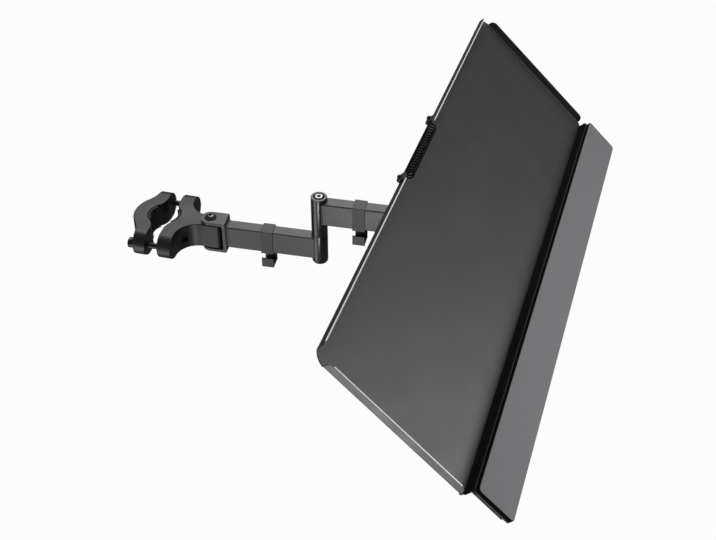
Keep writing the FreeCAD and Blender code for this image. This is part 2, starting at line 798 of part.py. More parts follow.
def tray_bracket():
    """The inner bracket of the tilt joint, with its web up against the bracket plate."""
    hole = tilt_bolt_diameter + 2 * running_clearance
    bracket = u_bracket(
        bracket_gap,
        bracket_thickness,
        bracket_width,
        bracket_web_offset,
        bracket_bend_radius,
        bracket_bend_radius + bracket_thickness,
        hole,
    )
    bracket.rotate(ORIGIN, Z_AXIS, 90)
    bracket.rotate(ORIGIN, X_AXIS, 90)
    bracket.translate(vec(tilt_axis_from_back, bracket_off_middle, -tilt_axis_below_panel))
    return on_tray(bracket)


def stud_places():
    """Where the four studs stand in the tray's frame."""
    return [
        vec(
            tilt_axis_from_back + i * stud_spacing_across / 2,
            bracket_off_middle + j * stud_spacing_along / 2,
        )
        for i in (-1, 1)
        for j in (-1, 1)
    ]


def bracket_plate():
    half_depth = bracket_plate_depth / 2
    half_length = bracket_plate_length / 2
    x = (tilt_axis_from_back - half_depth, tilt_axis_from_back + half_depth)
    y = (bracket_off_middle - half_length, bracket_off_middle + half_length)
    plate = rounded_block(x, y, (plate_underside, -sheet_thickness), bracket_plate_corner_radius)
    for place in stud_places():
        hole = stud_diameter + 2 * pocket_clearance
        plate = plate.cut(rod(hole, place + vec(0, 0, plate_underside), Z_AXIS, bracket_plate_thickness))
    return on_tray(plate)


def tray_stud(place):
    length = bracket_plate_thickness + stud_nut_height + stud_tip
    return on_tray(rod(stud_diameter, place + vec(0, 0, -sheet_thickness), -Z_AXIS, length))


def tray_nut(place):
    start = place + vec(0, 0, plate_underside)
    nut = hexagon(stud_nut_across_flats, start, -Z_AXIS, stud_nut_height)
    return on_tray(nut.cut(rod(stud_diameter + 2 * running_clearance, start, -Z_AXIS, stud_nut_height)))


# Tray sheet, in the parts between its bend lines
def flange_strip(length, end_radius):
    """A flange along Y at X = 0 with its bend, standing up from the sheet that runs towards +X."""
    inner = sheet_bend_radius
    outer = bend_reach
    foot = -sheet_thickness
    centre = vec(outer, 0, inner)
    edges = [
        arc_about(centre, outer, 180, 270, "y"),
        arc_about(centre, inner, 180, 270, "y"),
        line(vec(0, 0, centre.z), vec(0, 0, flange_height)),
        line(vec(sheet_thickness, 0, centre.z), vec(sheet_thickness, 0, flange_height)),
        line(vec(0, 0, flange_height), vec(sheet_thickness, 0, flange_height)),
        line(vec(outer, 0, foot), vec(outer, 0, 0)),
    ]
    strip = face_of(edges).extrude(vec(0, length))
    top_corners = [
        e
        for e in strip.Edges
        if e.BoundBox.ZMin > flange_height - on_face and runs_along(e, X_AXIS)
    ]
    return strip.makeFillet(end_radius, top_corners)


def tray_panel():
    """The flat of the folded sheet, from the back bend to the front one, with its corners rounded."""
    half_length = tray_length / 2
    sheet = box((0, front_bend_x), (-half_length, half_length), (-sheet_thickness, 0))

    def corners(x):
        return [e for e in sheet.Edges if runs_along(e, Z_AXIS) and abs(e.CenterOfMass.x - x) < on_face]

    sheet = sheet.makeFillet(back_corner_radius, corners(0))
    sheet = sheet.makeFillet(front_corner_radius, corners(front_bend_x))
    for start, end in back_flange_spans():
        sheet = sheet.cut(box((0, bend_reach), (start, end), (-sheet_thickness, 0)))
    end_bend = box(
        (side_flange_start, side_flange_end), (half_length - bend_reach, half_length), (-sheet_thickness, 0)
    )
    return on_tray(sheet.cut([end_bend, mirrored(end_bend, Y_AXIS)]))


def back_flange_spans():
    """Where the two back flanges start and end along the tray, with the notch between them."""
    near_end = spring_off_middle - notch_length / 2
    far_end = spring_off_middle + notch_length / 2
    outer = tray_length / 2 - back_flange_inset
    return [(-outer, near_end), (far_end, outer)]


def back_flange(side):
    """One half of the back flange, with the hole for the screw of its keeper anchor."""
    start, end = back_flange_spans()[0 if side < 0 else 1]
    flange = flange_strip(end - start, back_flange_end_radius)
    flange.translate(vec(0, start))
    hole = keeper_screw_diameter + 2 * running_clearance
    entry = keeper_screw_place(side) - X_AXIS * cut_margin
    return on_tray(flange.cut(rod(hole, entry, X_AXIS, sheet_thickness + 2 * cut_margin)))


def end_flange(side):
    """The flange along one end of the tray."""
    flange = flange_strip(side_flange_end - side_flange_start, side_flange_end_radius)
    flange.rotate(ORIGIN, Z_AXIS, -90)
    flange.translate(vec(side_flange_start, tray_length / 2))
    return on_tray(flange if side > 0 else mirrored(flange, Y_AXIS))


def folded_strip(edges):
    """A strip of the folded sheet along the front, from the edges of its section."""
    strip = face_of(edges).extrude(vec(0, ledge_length))
    strip.translate(vec(0, -ledge_length / 2))
    return strip


def front_wall():
    """The low wall that the front of the sheet is folded up to."""
    inner = sheet_bend_radius
    foot = -sheet_thickness
    centre = vec(front_bend_x, 0, inner)
    wall_front = panel_depth + sheet_thickness
    edges = [
        line(vec(front_bend_x, 0, foot), vec(front_bend_x, 0, 0)),
        arc_about(centre, inner, 270, 360, "y"),
        arc_about(centre, bend_reach, 270, 360, "y"),
        line(vec(panel_depth, 0, inner), vec(panel_depth, 0, ledge_bend_z)),
        line(vec(wall_front, 0, inner), vec(wall_front, 0, ledge_bend_z)),
        line(vec(panel_depth, 0, ledge_bend_z), vec(wall_front, 0, ledge_bend_z)),
    ]
    return on_tray(folded_strip(edges))


def rest_ledge():
    """The ledge folded forwards from the top of the wall, with the holes for the palm rest's screws."""
    wall_front = panel_depth + sheet_thickness
    front = panel_depth + ledge_width
    under = ledge_top - sheet_thickness
    centre = vec(panel_depth + bend_reach, 0, ledge_bend_z)
    edges = [
        line(vec(panel_depth, 0, ledge_bend_z), vec(wall_front, 0, ledge_bend_z)),
        arc_about(centre, bend_reach, 90, 180, "y"),
        arc_about(centre, sheet_bend_radius, 90, 180, "y"),
        line(vec(centre.x, 0, ledge_top), vec(front, 0, ledge_top)),
        line(vec(centre.x, 0, under), vec(front, 0, under)),
        line(vec(front, 0, under), vec(front, 0, ledge_top)),
    ]
    ledge = folded_strip(edges)
    hole = rest_screw_diameter + 2 * pocket_clearance
    for place in rest_screw_places():
        start = place + vec(0, 0, under - cut_margin)
        ledge = ledge.cut(rod(hole, start, Z_AXIS, sheet_thickness + 2 * cut_margin))
    return on_tray(ledge)


# Palm rest
def rest_screw_places():
    first = -rest_screw_pitch * (rest_screw_count - 1) / 2
    middle = panel_depth + ledge_width / 2
    return [vec(middle, first + k * rest_screw_pitch) for k in range(rest_screw_count)]


def rest_slab(bottom, thickness):
    half = rest_length / 2
    x = (rest_back, rest_back + rest_width)
    return rounded_block(x, (-half, half), (bottom, bottom + thickness), rest_corner_radius)


def palm_rest_board():
    board = rest_slab(rest_board_bottom, rest_board_thickness)
    for place in rest_screw_places():
        start = place + vec(0, 0, rest_board_bottom)
        hole = rest_screw_diameter + 2 * running_clearance
        board = board.cut(rod(hole, start, Z_AXIS, rest_board_thickness))
    return on_tray(board)


def palm_rest_pad():
    """The firm foam pad, bonded to the board, with a rounded upper edge and a drawn-in foot."""
    pad = rest_slab(rest_pad_bottom, rest_pad_thickness)
    top = rest_pad_bottom + rest_pad_thickness
    crown = [e for e in pad.Edges if e.BoundBox.ZMin > top - on_face]
    pad = pad.makeFillet(rest_pad_edge_radius, crown)
    foot = [e for e in pad.Edges if e.BoundBox.ZMax < rest_pad_bottom + on_face]
    return on_tray(pad.makeFillet(rest_pad_foot_radius, foot))


def palm_rest_screw(place):
    """A pan head screw up through the ledge into the board."""
    seat = ledge_top - sheet_thickness
    start = place + vec(0, 0, seat - rest_screw_head_height)
    head = rod(rest_screw_head_diameter, start, Z_AXIS, rest_screw_head_height)
    under = [e for e in head.Edges if e.BoundBox.ZMax < start.z + on_face]
    head = head.makeFillet(rest_screw_head_edge, under)
    length = sheet_thickness + seat_gap + rest_board_thickness
    shank = rod(rest_screw_diameter, place + vec(0, 0, seat), Z_AXIS, length)
    return on_tray(head.fuse(shank).removeSplitter())


# Cable keeper
def anchor_face(side):
    """Where the face of the anchor at one end of the coil stands along the tray."""
    return spring_off_middle + side * spring_half_reach


def keeper_screw_place(side):
    return vec(0, anchor_face(side) + side * keeper_screw_offset, keeper_screw_z)


def biarc(start, start_tangent, end, end_tangent):
    """Two arcs that join two points and keep the tangent at each."""
    chord = end - start
    both = start_tangent + end_tangent
    spread = 2 * (1 - start_tangent.dot(end_tangent))
    reach = (math.sqrt(chord.dot(both) ** 2 + spread * chord.dot(chord)) - chord.dot(both)) / spread
    middle = (start + end + (start_tangent - end_tangent) * reach) * 0.5
    return [arc_from(start, start_tangent, middle), arc_from(end, -end_tangent, middle)]


def arc_from(start, tangent, end):
    """The arc from one point to another with the given tangent at the first."""
    chord = end - start
    along = FreeCAD.Vector(chord).normalize()
    side = (tangent - along * tangent.dot(along)).normalize()
    angle = tangent.getAngle(along)
    rise = chord.Length / 2 * math.tan(angle / 2)
    return arc(start, start + chord * 0.5 + side * rise, end)


def spring_point(turn):
    """Place and direction on the coil, counted in turns from the back of its near end."""
    angle = 2 * math.pi * turn + math.pi
    place = vec(
        spring_x + spring_radius * math.cos(angle),
        spring_off_middle - spring_half_length + spring_pitch * turn,
        spring_z + spring_radius * math.sin(angle),
    )
    round_ = math.cos(spring_rise_angle)
    tangent = vec(-math.sin(angle) * round_, math.sin(spring_rise_angle), math.cos(angle) * round_)
    return place, tangent


def spring_tail(turn, side):
    """The end of the wire: a bend from the coil to its own axis and a straight run into the anchor."""
    place, tangent = spring_point(turn)
    tangent = tangent * side
    axis = Y_AXIS * side
    across = tangent - axis * tangent.dot(axis)
    across.normalize()
    turn_angle = math.acos(tangent.dot(axis))
    away = axis - tangent * axis.dot(tangent)
    away.normalize()

    def on_bend(angle):
        step = tangent * math.sin(angle) + away * (1 - math.cos(angle))
        return place + step * spring_tail_bend

    bend_end = on_bend(turn_angle)
    bend = arc(place, on_bend(turn_angle / 2), bend_end)
    tip = vec(bend_end.x, anchor_face(side) + side * spring_tail_grip, bend_end.z)
    return bend, line(bend_end, tip), tip


def keeper_spring():
    """The coil as one unbroken wire, from the far anchor to the near one."""
    near_bend, near_run, near_tip = spring_tail(0, -1)
    far_bend, far_run, far_tip = spring_tail(spring_turns, 1)
    edges = [near_run, near_bend]
    half_turns = 2 * spring_turns
    for k in range(half_turns):
        start, start_tangent = spring_point(k / 2)
        end, end_tangent = spring_point((k + 1) / 2)
        edges += biarc(start, start_tangent, end, end_tangent)
    edges += [far_bend, far_run]
    path = Part.Wire(Part.__sortEdges__(edges))
    section = Part.Wire(Part.makeCircle(spring_wire / 2, near_tip, Y_AXIS))
    shell = Part.BRepOffsetAPI.MakePipeShell(path)
    shell.add(section)
    shell.build()
    shell.makeSolid()
    print_spring_gap(path)
    return on_tray(shell.shape()), near_tip, far_tip


def print_spring_gap(path):
    """Measure on points how near the wire comes to itself, past its own neighbourhood."""
    points = path.discretize(Distance=spring_wire)
    apart = int(math.pi * spring_radius / spring_wire)
    pairs = [(p, q) for i, p in enumerate(points) for q in points[i + apart :]]
    nearest = min(p.distanceToPoint(q) for p, q in pairs) - spring_wire
    print("least gap of the spring to itself", round(nearest, 2))


def keeper_anchor(side, tip):
    """A moulded block behind the back flange that takes one end of the wire."""
    face = anchor_face(side)
    ends = sorted((face, face + side * anchor_length))
    block = rounded_block(
        (-anchor_thickness, -seat_gap), ends, (loose_clearance, anchor_height), anchor_corner_radius
    )
    screw_hole = keeper_screw_diameter + 2 * running_clearance
    start = keeper_screw_place(side) - X_AXIS * anchor_thickness
    block = block.cut(rod(screw_hole, start, X_AXIS, anchor_thickness))
    wire_hole = spring_wire + 2 * running_clearance
    depth = spring_tail_grip + seat_gap
    return on_tray(block.cut(rod(wire_hole, vec(tip.x, face, tip.z), Y_AXIS * side, depth)))


def keeper_screw(side):
    """The screw that holds an anchor to the back flange."""
    screw = button_screw(
        keeper_screw_diameter,
        anchor_thickness + sheet_thickness,
        keeper_screw_head_diameter,
        keeper_screw_head_height,
        keeper_screw_socket,
    )
    screw.rotate(ORIGIN, Y_AXIS, -90)
    screw.translate(keeper_screw_place(side) - X_AXIS * anchor_thickness)
    return on_tray(screw)


os.makedirs("parts", exist_ok=True)

export("inner_jaw", inner_jaw())
export("outer_jaw", outer_jaw())
export("inner_jaw_liner", jaw_liner(0))
export("outer_jaw_liner", jaw_liner(180))
export("near_clamp_bolt", clamp_bolt(-1))
export("far_clamp_bolt", clamp_bolt(1))
export("clamp_nuts", clamp_nut(-1), clamp_nut(1))

export("clevis_bracket", clevis_bracket())
export("pivot_bolt", pivot_bolt())
export("pivot_bush", pivot_bush())
export("pivot_washers", pivot_washer(-1), pivot_washer(1))

export("arm_1_tube", arm_1_tube())
export("arm_2_tube", arm_2_tube())
export("cable_clip_1", cable_clip(clip_start_on_arm_1, 0))
export("cable_clip_2", cable_clip(barrel_x + clip_start_on_arm_2, arm_rise))

export("lower_barrel", lower_barrel())
export("upper_barrel", upper_barrel())
export("barrel_seam_bush", barrel_seam_bush())
export("barrel_top_bush", barrel_top_bush())
export("barrel_pin_washer", barrel_pin_washer())
export("barrel_pin", barrel_pin())

export("swivel_barrel", swivel_barrel())
export("swivel_top_bush", swivel_bush(swivel_barrel_top, Z_AXIS))
export("swivel_bottom_bush", swivel_bush(swivel_barrel_bottom, -Z_AXIS))
export("swivel_post", swivel_post())
export("swivel_washer", swivel_washer())
export("swivel_screw", swivel_screw())

export("tilt_yoke", tilt_yoke())
export("tilt_bolt", tilt_bolt())
export("tilt_nut", tilt_nut())
export("friction_washers", friction_washer(-1), friction_washer(1))
export("tray_bracket", tray_bracket())
export("bracket_plate", bracket_plate())
export("tray_studs", *[tray_stud(p) for p in stud_places()])
export("tray_nuts", *[tray_nut(p) for p in stud_places()])

export("tray_panel", tray_panel())
export("back_flanges", back_flange(-1), back_flange(1))
export("end_flanges", end_flange(-1), end_flange(1))
export("front_wall", front_wall())
export("rest_ledge", rest_ledge())
export("palm_rest_board", palm_rest_board())
export("palm_rest_pad", palm_rest_pad())
export("palm_rest_screws", *[palm_rest_screw(p) for p in rest_screw_places()])

spring, near_wire_tip, far_wire_tip = keeper_spring()
export("keeper_spring", spring)
export("near_keeper_anchor", keeper_anchor(-1, near_wire_tip))
export("far_keeper_anchor", keeper_anchor(1, far_wire_tip))
export("keeper_screws", keeper_screw(-1), keeper_screw(1))
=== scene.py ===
"""Looks of a pole-mounted keyboard tray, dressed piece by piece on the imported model."""

import json
import math

import bmesh
import bpy
from mathutils import Matrix, Vector

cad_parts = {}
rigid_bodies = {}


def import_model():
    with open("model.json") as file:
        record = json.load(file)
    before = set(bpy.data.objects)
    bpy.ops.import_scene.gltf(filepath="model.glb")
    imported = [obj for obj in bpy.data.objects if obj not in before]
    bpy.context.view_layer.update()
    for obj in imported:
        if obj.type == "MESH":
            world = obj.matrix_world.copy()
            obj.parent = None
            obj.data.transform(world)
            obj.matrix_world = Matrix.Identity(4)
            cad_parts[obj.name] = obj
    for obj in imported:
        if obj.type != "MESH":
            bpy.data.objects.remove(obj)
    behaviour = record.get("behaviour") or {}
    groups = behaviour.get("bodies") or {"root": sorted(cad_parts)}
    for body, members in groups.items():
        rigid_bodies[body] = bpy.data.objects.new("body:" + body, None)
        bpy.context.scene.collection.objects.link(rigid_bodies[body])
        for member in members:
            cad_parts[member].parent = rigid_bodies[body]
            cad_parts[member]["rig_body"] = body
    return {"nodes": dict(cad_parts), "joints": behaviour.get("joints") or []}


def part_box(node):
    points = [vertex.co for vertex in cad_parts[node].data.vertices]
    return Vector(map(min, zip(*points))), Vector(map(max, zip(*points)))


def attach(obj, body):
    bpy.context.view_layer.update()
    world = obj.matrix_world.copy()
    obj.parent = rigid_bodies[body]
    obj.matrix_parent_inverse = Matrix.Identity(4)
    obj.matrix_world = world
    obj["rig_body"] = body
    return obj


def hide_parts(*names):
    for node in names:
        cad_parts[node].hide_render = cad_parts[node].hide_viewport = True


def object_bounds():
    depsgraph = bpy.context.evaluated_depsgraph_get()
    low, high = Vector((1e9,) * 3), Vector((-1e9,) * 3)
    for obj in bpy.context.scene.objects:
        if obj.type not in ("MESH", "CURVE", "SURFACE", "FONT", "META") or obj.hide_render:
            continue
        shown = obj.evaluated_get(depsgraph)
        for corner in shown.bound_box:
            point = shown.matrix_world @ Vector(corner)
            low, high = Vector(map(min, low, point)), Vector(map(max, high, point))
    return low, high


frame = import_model()
nodes = frame["nodes"]
joints = {joint["name"]: joint for joint in frame["joints"]}
cad_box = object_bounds()


# Camera
# A long lens looks down and a little from the left, with the tray's near end closest to it.
camera_place = (0.48854, -1.1454, 0.9134)
camera_pitch_deg = 38.99
camera_azimuth_deg = 11.79
camera = bpy.data.objects.new("camera", bpy.data.cameras.new("camera"))
camera.data.sensor_width = 36.0
camera.data.lens = 60.335
camera.data.clip_end = 50.0
camera.location = camera_place
camera.rotation_euler = (math.radians(90 - camera_pitch_deg), 0, math.radians(camera_azimuth_deg))
bpy.context.scene.collection.objects.link(camera)
bpy.context.scene.camera = camera


# Floor, backdrop and lamps
# A white studio: a matt floor well under the tray, a white surround and four soft panels of light. The
# camera sees floor and surround as even white, while the part mirrors a darker room in its satin coats.
def linear(hex_colour):
    """An sRGB hex colour as the linear colour that the sockets take."""
    parts = [int(hex_colour[k : k + 2], 16) / 255 for k in (1, 3, 5)]
    return tuple(p / 12.92 if p <= 0.04045 else ((p + 0.055) / 1.055) ** 2.4 for p in parts) + (1.0,)


def add(tree, kind, inputs=None, **settings):
    """Add a node. Settings are its properties. An input is a value, or a socket to link from, and goes by
    its number where the node has several of one name."""
    made = tree.nodes.new(kind)
    for name, value in settings.items():
        setattr(made, name, value)
    for name, value in (inputs or {}).items():
        if isinstance(value, bpy.types.NodeSocket):
            tree.links.new(value, made.inputs[name])
        else:
            made.inputs[name].default_value = value
    return made


def new_tree(owner):
    owner.use_nodes = True
    owner.node_tree.nodes.clear()
    return owner.node_tree


floor_drop = 0.95
floor_half = 9.0
floor_glow = 0.97
floor_z = cad_box[0].z - floor_drop
floor_mesh = bpy.data.meshes.new("floor")
floor_mesh.from_pydata(
    [(x * floor_half, y * floor_half, floor_z) for x, y in ((-1, -1), (1, -1), (1, 1), (-1, 1))],
    [],
    [(0, 1, 2, 3)],
)
floor = bpy.data.objects.new("floor", floor_mesh)
bpy.context.scene.collection.objects.link(floor)

white_floor = bpy.data.materials.new("white studio floor")
tree = new_tree(white_floor)
lit = add(tree, "ShaderNodeBsdfDiffuse", {"Color": linear("#707070")})
glow = add(tree, "ShaderNodeEmission", {"Color": linear("#ffffff"), "Strength": 1.0})
seen = add(tree, "ShaderNodeLightPath").outputs["Is Camera Ray"]
bright = add(tree, "ShaderNodeMath", {0: seen, 1: floor_glow}, operation="MULTIPLY")
shown = add(tree, "ShaderNodeMixShader", {0: bright.outputs[0], 1: lit.outputs[0], 2: glow.outputs[0]})
side = add(tree, "ShaderNodeNewGeometry")
clear = add(tree, "ShaderNodeBsdfTransparent")
whole = add(
    tree, "ShaderNodeMixShader", {0: side.outputs["Backfacing"], 1: shown.outputs[0], 2: clear.outputs[0]}
)
add(tree, "ShaderNodeOutputMaterial", {"Surface": whole.outputs[0]})
floor_mesh.materials.append(white_floor)

room_light = 0.2
studio = bpy.data.worlds.new("white studio")
bpy.context.scene.world = studio
bpy.context.scene.view_settings.view_transform = "Standard"
tree = new_tree(studio)
surround = add(tree, "ShaderNodeBackground", {"Color": linear("#ffffff"), "Strength": room_light})
backdrop = add(tree, "ShaderNodeBackground", {"Color": linear("#ffffff"), "Strength": 1.0})
seen = add(tree, "ShaderNodeLightPath").outputs["Is Camera Ray"]
mixed = add(tree, "ShaderNodeMixShader", {0: seen, 1: surround.outputs[0], 2: backdrop.outputs[0]})
add(tree, "ShaderNodeOutputWorld", {"Surface": mixed.outputs[0]})


def soft_panel(name, place, target, size, watts):
    """A rectangular lamp in metres and watts, turned to face a target."""
    lamp = bpy.data.lights.new(name, "AREA")
    lamp.shape = "RECTANGLE"
    lamp.size, lamp.size_y = size
    lamp.energy = watts
    panel = bpy.data.objects.new(name, lamp)
    panel.location = place
    panel.rotation_euler = (Vector(target) - Vector(place)).to_track_quat("-Z", "Y").to_euler()
    bpy.context.scene.collection.objects.link(panel)


soft_panel("right_panel", (1.45, -0.15, 0.26), (0.4, -0.15, 0.08), (1.4, 0.9), 19.0)
soft_panel("overhead_panel", (0.0, 1.0, 1.7), (0.15, 0.0, 0.05), (1.4, 1.6), 34.0)
soft_panel("low_left_panel", (-0.55, -0.72, -0.62), (0.2, -0.05, 0.05), (0.7, 0.8), 4.5)
soft_panel("low_near_panel", (0.2, -0.8, -0.33), (0.35, -0.37, 0.05), (0.25, 0.3), 3.0)


# Clamp jaws
# Two die-cast jaws with rounded outlines and spot faces under the bolt heads. They are shot blasted and
# powder coated satin black, so their faces are even with a very fine orange peel and softly broken edges.
def toned(hex_colour, share):
    """A darker or lighter tone of a colour."""
    return tuple(share * c for c in linear(hex_colour)[:3]) + (1.0,)


def powder_coat(name, colour, peel_depth_mm, roughness, wear):
    """A baked powder coat: an even satin film with orange peel, a little uneven in gloss."""
    peel_mm, cloud_mm = 1.6, 45.0
    material = bpy.data.materials.new(name)
    tree = new_tree(material)
    place = add(tree, "ShaderNodeTexCoord").outputs["Object"]
    peel = add(
        tree,
        "ShaderNodeTexNoise",
        {"Vector": place, "Scale": 1000 / peel_mm, "Detail": 3.0, "Roughness": 0.55},
    )
    clouds = add(tree, "ShaderNodeTexNoise", {"Vector": place, "Scale": 1000 / cloud_mm, "Detail": 2.0})
    gloss = add(
        tree,
        "ShaderNodeMapRange",
        {
            "Value": clouds.outputs["Fac"],
            "From Min": 0.35,
            "From Max": 0.65,
            "To Min": roughness - wear,
            "To Max": roughness + wear,
        },
    )
    tint = add(
        tree,
        "ShaderNodeMix",
        {
            0: peel.outputs["Fac"],
            6: toned(colour, 0.88),
            7: toned(colour, 1.12),
        },
        data_type="RGBA",
    )
    relief = add(
        tree,
        "ShaderNodeBump",
        {"Height": peel.outputs["Fac"], "Distance": peel_depth_mm / 1000, "Strength": 1.0},
    )
    coat = add(
        tree,
        "ShaderNodeBsdfPrincipled",
        {
            "Base Color": tint.outputs[2],
            "Roughness": gloss.outputs[0],
            "IOR": 1.5,
            "Normal": relief.outputs[0],
        },
    )
    add(tree, "ShaderNodeOutputMaterial", {"Surface": coat.outputs[0]})
    return material


merge_distance = 2e-6
flat_angle = math.radians(0.5)
broken_edge_angle = math.radians(40)
smooth_edge_angle = math.radians(32)
widest_smooth_face = 0.006


def finished(names, piece_name, slot, material, edge_mm):
    """A copy of model nodes with their triangles joined up and their sharp edges broken."""
    points, faces = [], []
    for name in names.split():
        data = nodes[name].data
        faces += [[len(points) + v for v in p.vertices] for p in data.polygons]
        points += [v.co for v in data.vertices]
    mesh = bpy.data.meshes.new(piece_name)
    mesh.from_pydata(points, [], faces)
    work = bmesh.new()
    work.from_mesh(mesh)
    bmesh.ops.remove_doubles(work, verts=work.verts, dist=merge_distance)
    dissolve_flat(work)
    # Where two nodes of one sheet meet, their faces lie back to back and go.
    alike = {}
    for face in work.faces:
        alike.setdefault(frozenset(face.verts), []).append(face)
    inside = [face for pair in alike.values() if len(pair) > 1 for face in pair]
    bmesh.ops.delete(work, geom=inside, context="FACES")
    dissolve_flat(work)
    shade(work)
    work.to_mesh(mesh)
    work.free()
    piece = bpy.data.objects.new(piece_name, mesh)
    bpy.context.scene.collection.objects.link(piece)
    edges = piece.modifiers.new("broken_edges", "BEVEL")
    edges.width = edge_mm / 1000
    edges.segments = 2
    edges.limit_method = "ANGLE"
    edges.angle_limit = broken_edge_angle
    edges.use_clamp_overlap = True
    flats = piece.modifiers.new("flat_faces", "WEIGHTED_NORMAL")
    flats.keep_sharp = True
    return fitted(piece, nodes[names.split()[0]]["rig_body"], slot, material, *names.split())


def dissolve_flat(work):
    """Join the triangles of each flat face."""
    bmesh.ops.dissolve_limit(work, angle_limit=flat_angle, verts=work.verts, edges=work.edges)


def shade(work):
    """Flat shading for wide faces, and smooth for the rest but at sharp edges."""
    for face in work.faces:
        around = sum(edge.calc_length() for edge in face.edges)
        face.smooth = 2 * face.calc_area() < widest_smooth_face * around
    for edge in work.edges:
        edge.smooth = edge.calc_face_angle(0) < smooth_edge_angle


def fitted(piece, body, slot, material, *stands_for):
    """Give a piece its material and its body, and hide the nodes of the model that it stands for."""
    piece.data.materials.clear()
    piece.data.materials.append(material)
    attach(piece, body)
    if stands_for:
        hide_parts(*stands_for)
    return piece


casting_coat = powder_coat(
    "powder coat on cast metal", "#111113", peel_depth_mm=0.02, roughness=0.4, wear=0.05
)
finished("inner_jaw", "inner_jaw_casting", "casting_paint", casting_coat, 0.35)
finished("outer_jaw", "outer_jaw_casting", "casting_paint", casting_coat, 0.35)


# Jaw liners
# Moulded rubber pads, glued into the seats of the jaws, that grip the pole. Soft, near black and dull.
def moulded(name, colour, grain_mm, grain_depth_mm, roughness, ior):
    """A moulded rubber or plastic with the grain of its mould."""
    material = bpy.data.materials.new(name)
    tree = new_tree(material)
    place = add(tree, "ShaderNodeTexCoord").outputs["Object"]
    grain = add(
        tree, "ShaderNodeTexNoise", {"Vector": place, "Scale": 1000 / grain_mm, "Detail": 4.0}
    )
    tint = add(
        tree,
        "ShaderNodeMix",
        {
            0: grain.outputs["Fac"],
            6: toned(colour, 0.72),
            7: toned(colour, 1.28),
        },
        data_type="RGBA",
    )
    dull = add(
        tree,
        "ShaderNodeMapRange",
        {"Value": grain.outputs["Fac"], "To Min": roughness + 0.12, "To Max": roughness - 0.12},
    )
    relief = add(
        tree, "ShaderNodeBump", {"Height": grain.outputs["Fac"], "Distance": grain_depth_mm / 1000}
    )
    body = add(
        tree,
        "ShaderNodeBsdfPrincipled",
        {
            "Base Color": tint.outputs[2],
            "Roughness": dull.outputs[0],
            "IOR": ior,
            "Normal": relief.outputs[0],
        },
    )
    add(tree, "ShaderNodeOutputMaterial", {"Surface": body.outputs[0]})
    return material


rubber = moulded(
    "moulded black rubber", "#0f0f0f", grain_mm=1.2, grain_depth_mm=0.05, roughness=0.7, ior=1.45
)
finished("inner_jaw_liner", "inner_jaw_pad", "liner_rubber", rubber, 0.3)
finished("outer_jaw_liner", "outer_jaw_pad", "liner_rubber", rubber, 0.3)


# Clamp bolts and nuts
# M8 socket head cap screws with knurled heads and rolled threads, and hexagon nuts with chamfered
# corners in pockets of the inner jaw. All are quenched steel with an oiled black oxide finish.
ring_steps = 120
hexagon_face_share = 0.95
hexagon_chamfer_slope = math.tan(math.radians(30))
shank_chamfer = 0.7


def turned(name, stations, closed=False):
    """A solid of rings about +Z in millimetres. A height or a radius may be a function of the angle."""
    work = bmesh.new()
    rings = []
    for height, radius in stations:
        if radius == 0:
            rings.append([work.verts.new((0, 0, height / 1000))])
            continue
        ring = []
        for k in range(ring_steps):
            angle = 2 * math.pi * k / ring_steps
            r = (radius(angle) if callable(radius) else radius) / 1000
            z = (height(angle) if callable(height) else height) / 1000
            ring.append(work.verts.new((r * math.cos(angle), r * math.sin(angle), z)))
        rings.append(ring)
    following = rings[1:] + rings[:1] if closed else rings[1:]
    for low, high in zip(rings, following):
        for k in range(ring_steps):
            around = (
                low[k % len(low)],
                low[(k + 1) % len(low)],
                high[(k + 1) % len(high)],
                high[k % len(high)],
            )
            work.faces.new(list(dict.fromkeys(around)))
    bmesh.ops.recalc_face_normals(work, faces=work.faces)
    shade(work)
    mesh = bpy.data.meshes.new(name)
    work.to_mesh(mesh)
    work.free()
    piece = bpy.data.objects.new(name, mesh)
    bpy.context.scene.collection.objects.link(piece)
    return piece


def across_flats(width):
    """The radius of a hexagon of that width, by the angle."""
    return lambda angle: width / 2 / math.cos(angle % (math.pi / 3) - math.pi / 6)


def knurled(radius):
    """The radius of a straight knurl: every second ring point lies lower."""
    depth = 0.14
    return lambda angle: radius - depth * (round(angle * ring_steps / (2 * math.pi)) % 2)


def aimed(place, direction, across=None):
    """The matrix that stands a turned piece at a place: its +Z along a direction, its +X across it."""
    up = Vector(direction).normalized()
    side = Vector(across) if across else up.orthogonal()
    side = (side - up * side.dot(up)).normalized()
    return Matrix.Translation(Vector(place)) @ Matrix((side, up.cross(side), up)).transposed().to_4x4()


def cap_screw(name, diameter, length, head_diameter, head_height, socket, depth):
    """A socket head cap screw: seat at the origin, head up, shank down to its chamfered tip."""
    shank, head = diameter / 2, head_diameter / 2
    stations = [
        (-length, 0),
        (-length, shank - shank_chamfer),
        (-length + shank_chamfer, shank),
        (0, shank),
        (0, head - 0.25),
        (0.25, head),
        (0.7, head),
        (0.9, knurled(head)),
        (head_height - 1.3, knurled(head)),
        (head_height - 1.1, head),
        (head_height - 0.7, head),
        (head_height, head - 0.7),
        (head_height, socket / 2 * 1.22),
        (head_height - 0.35, across_flats(socket)),
        (head_height - depth, across_flats(socket)),
        (head_height - depth - socket / 6, 0),
    ]
    return turned(name, stations)


def hexagon_nut(name, width, height, bore):
    """A hexagon nut from z = 0 up, with both faces chamfered round its corners."""
    flats = across_flats(width)
    face = width / 2 * hexagon_face_share
    slope = hexagon_chamfer_slope
    stations = [
        (lambda angle: (flats(angle) - face) * slope, flats),
        (lambda angle: height - (flats(angle) - face) * slope, flats),
        (height, face),
        (height, bore / 2 + 0.5),
        (height - 0.5, bore / 2),
        (0.5, bore / 2),
        (0, bore / 2 + 0.5),
        (0, face),
    ]
    return turned(name, stations, closed=True)


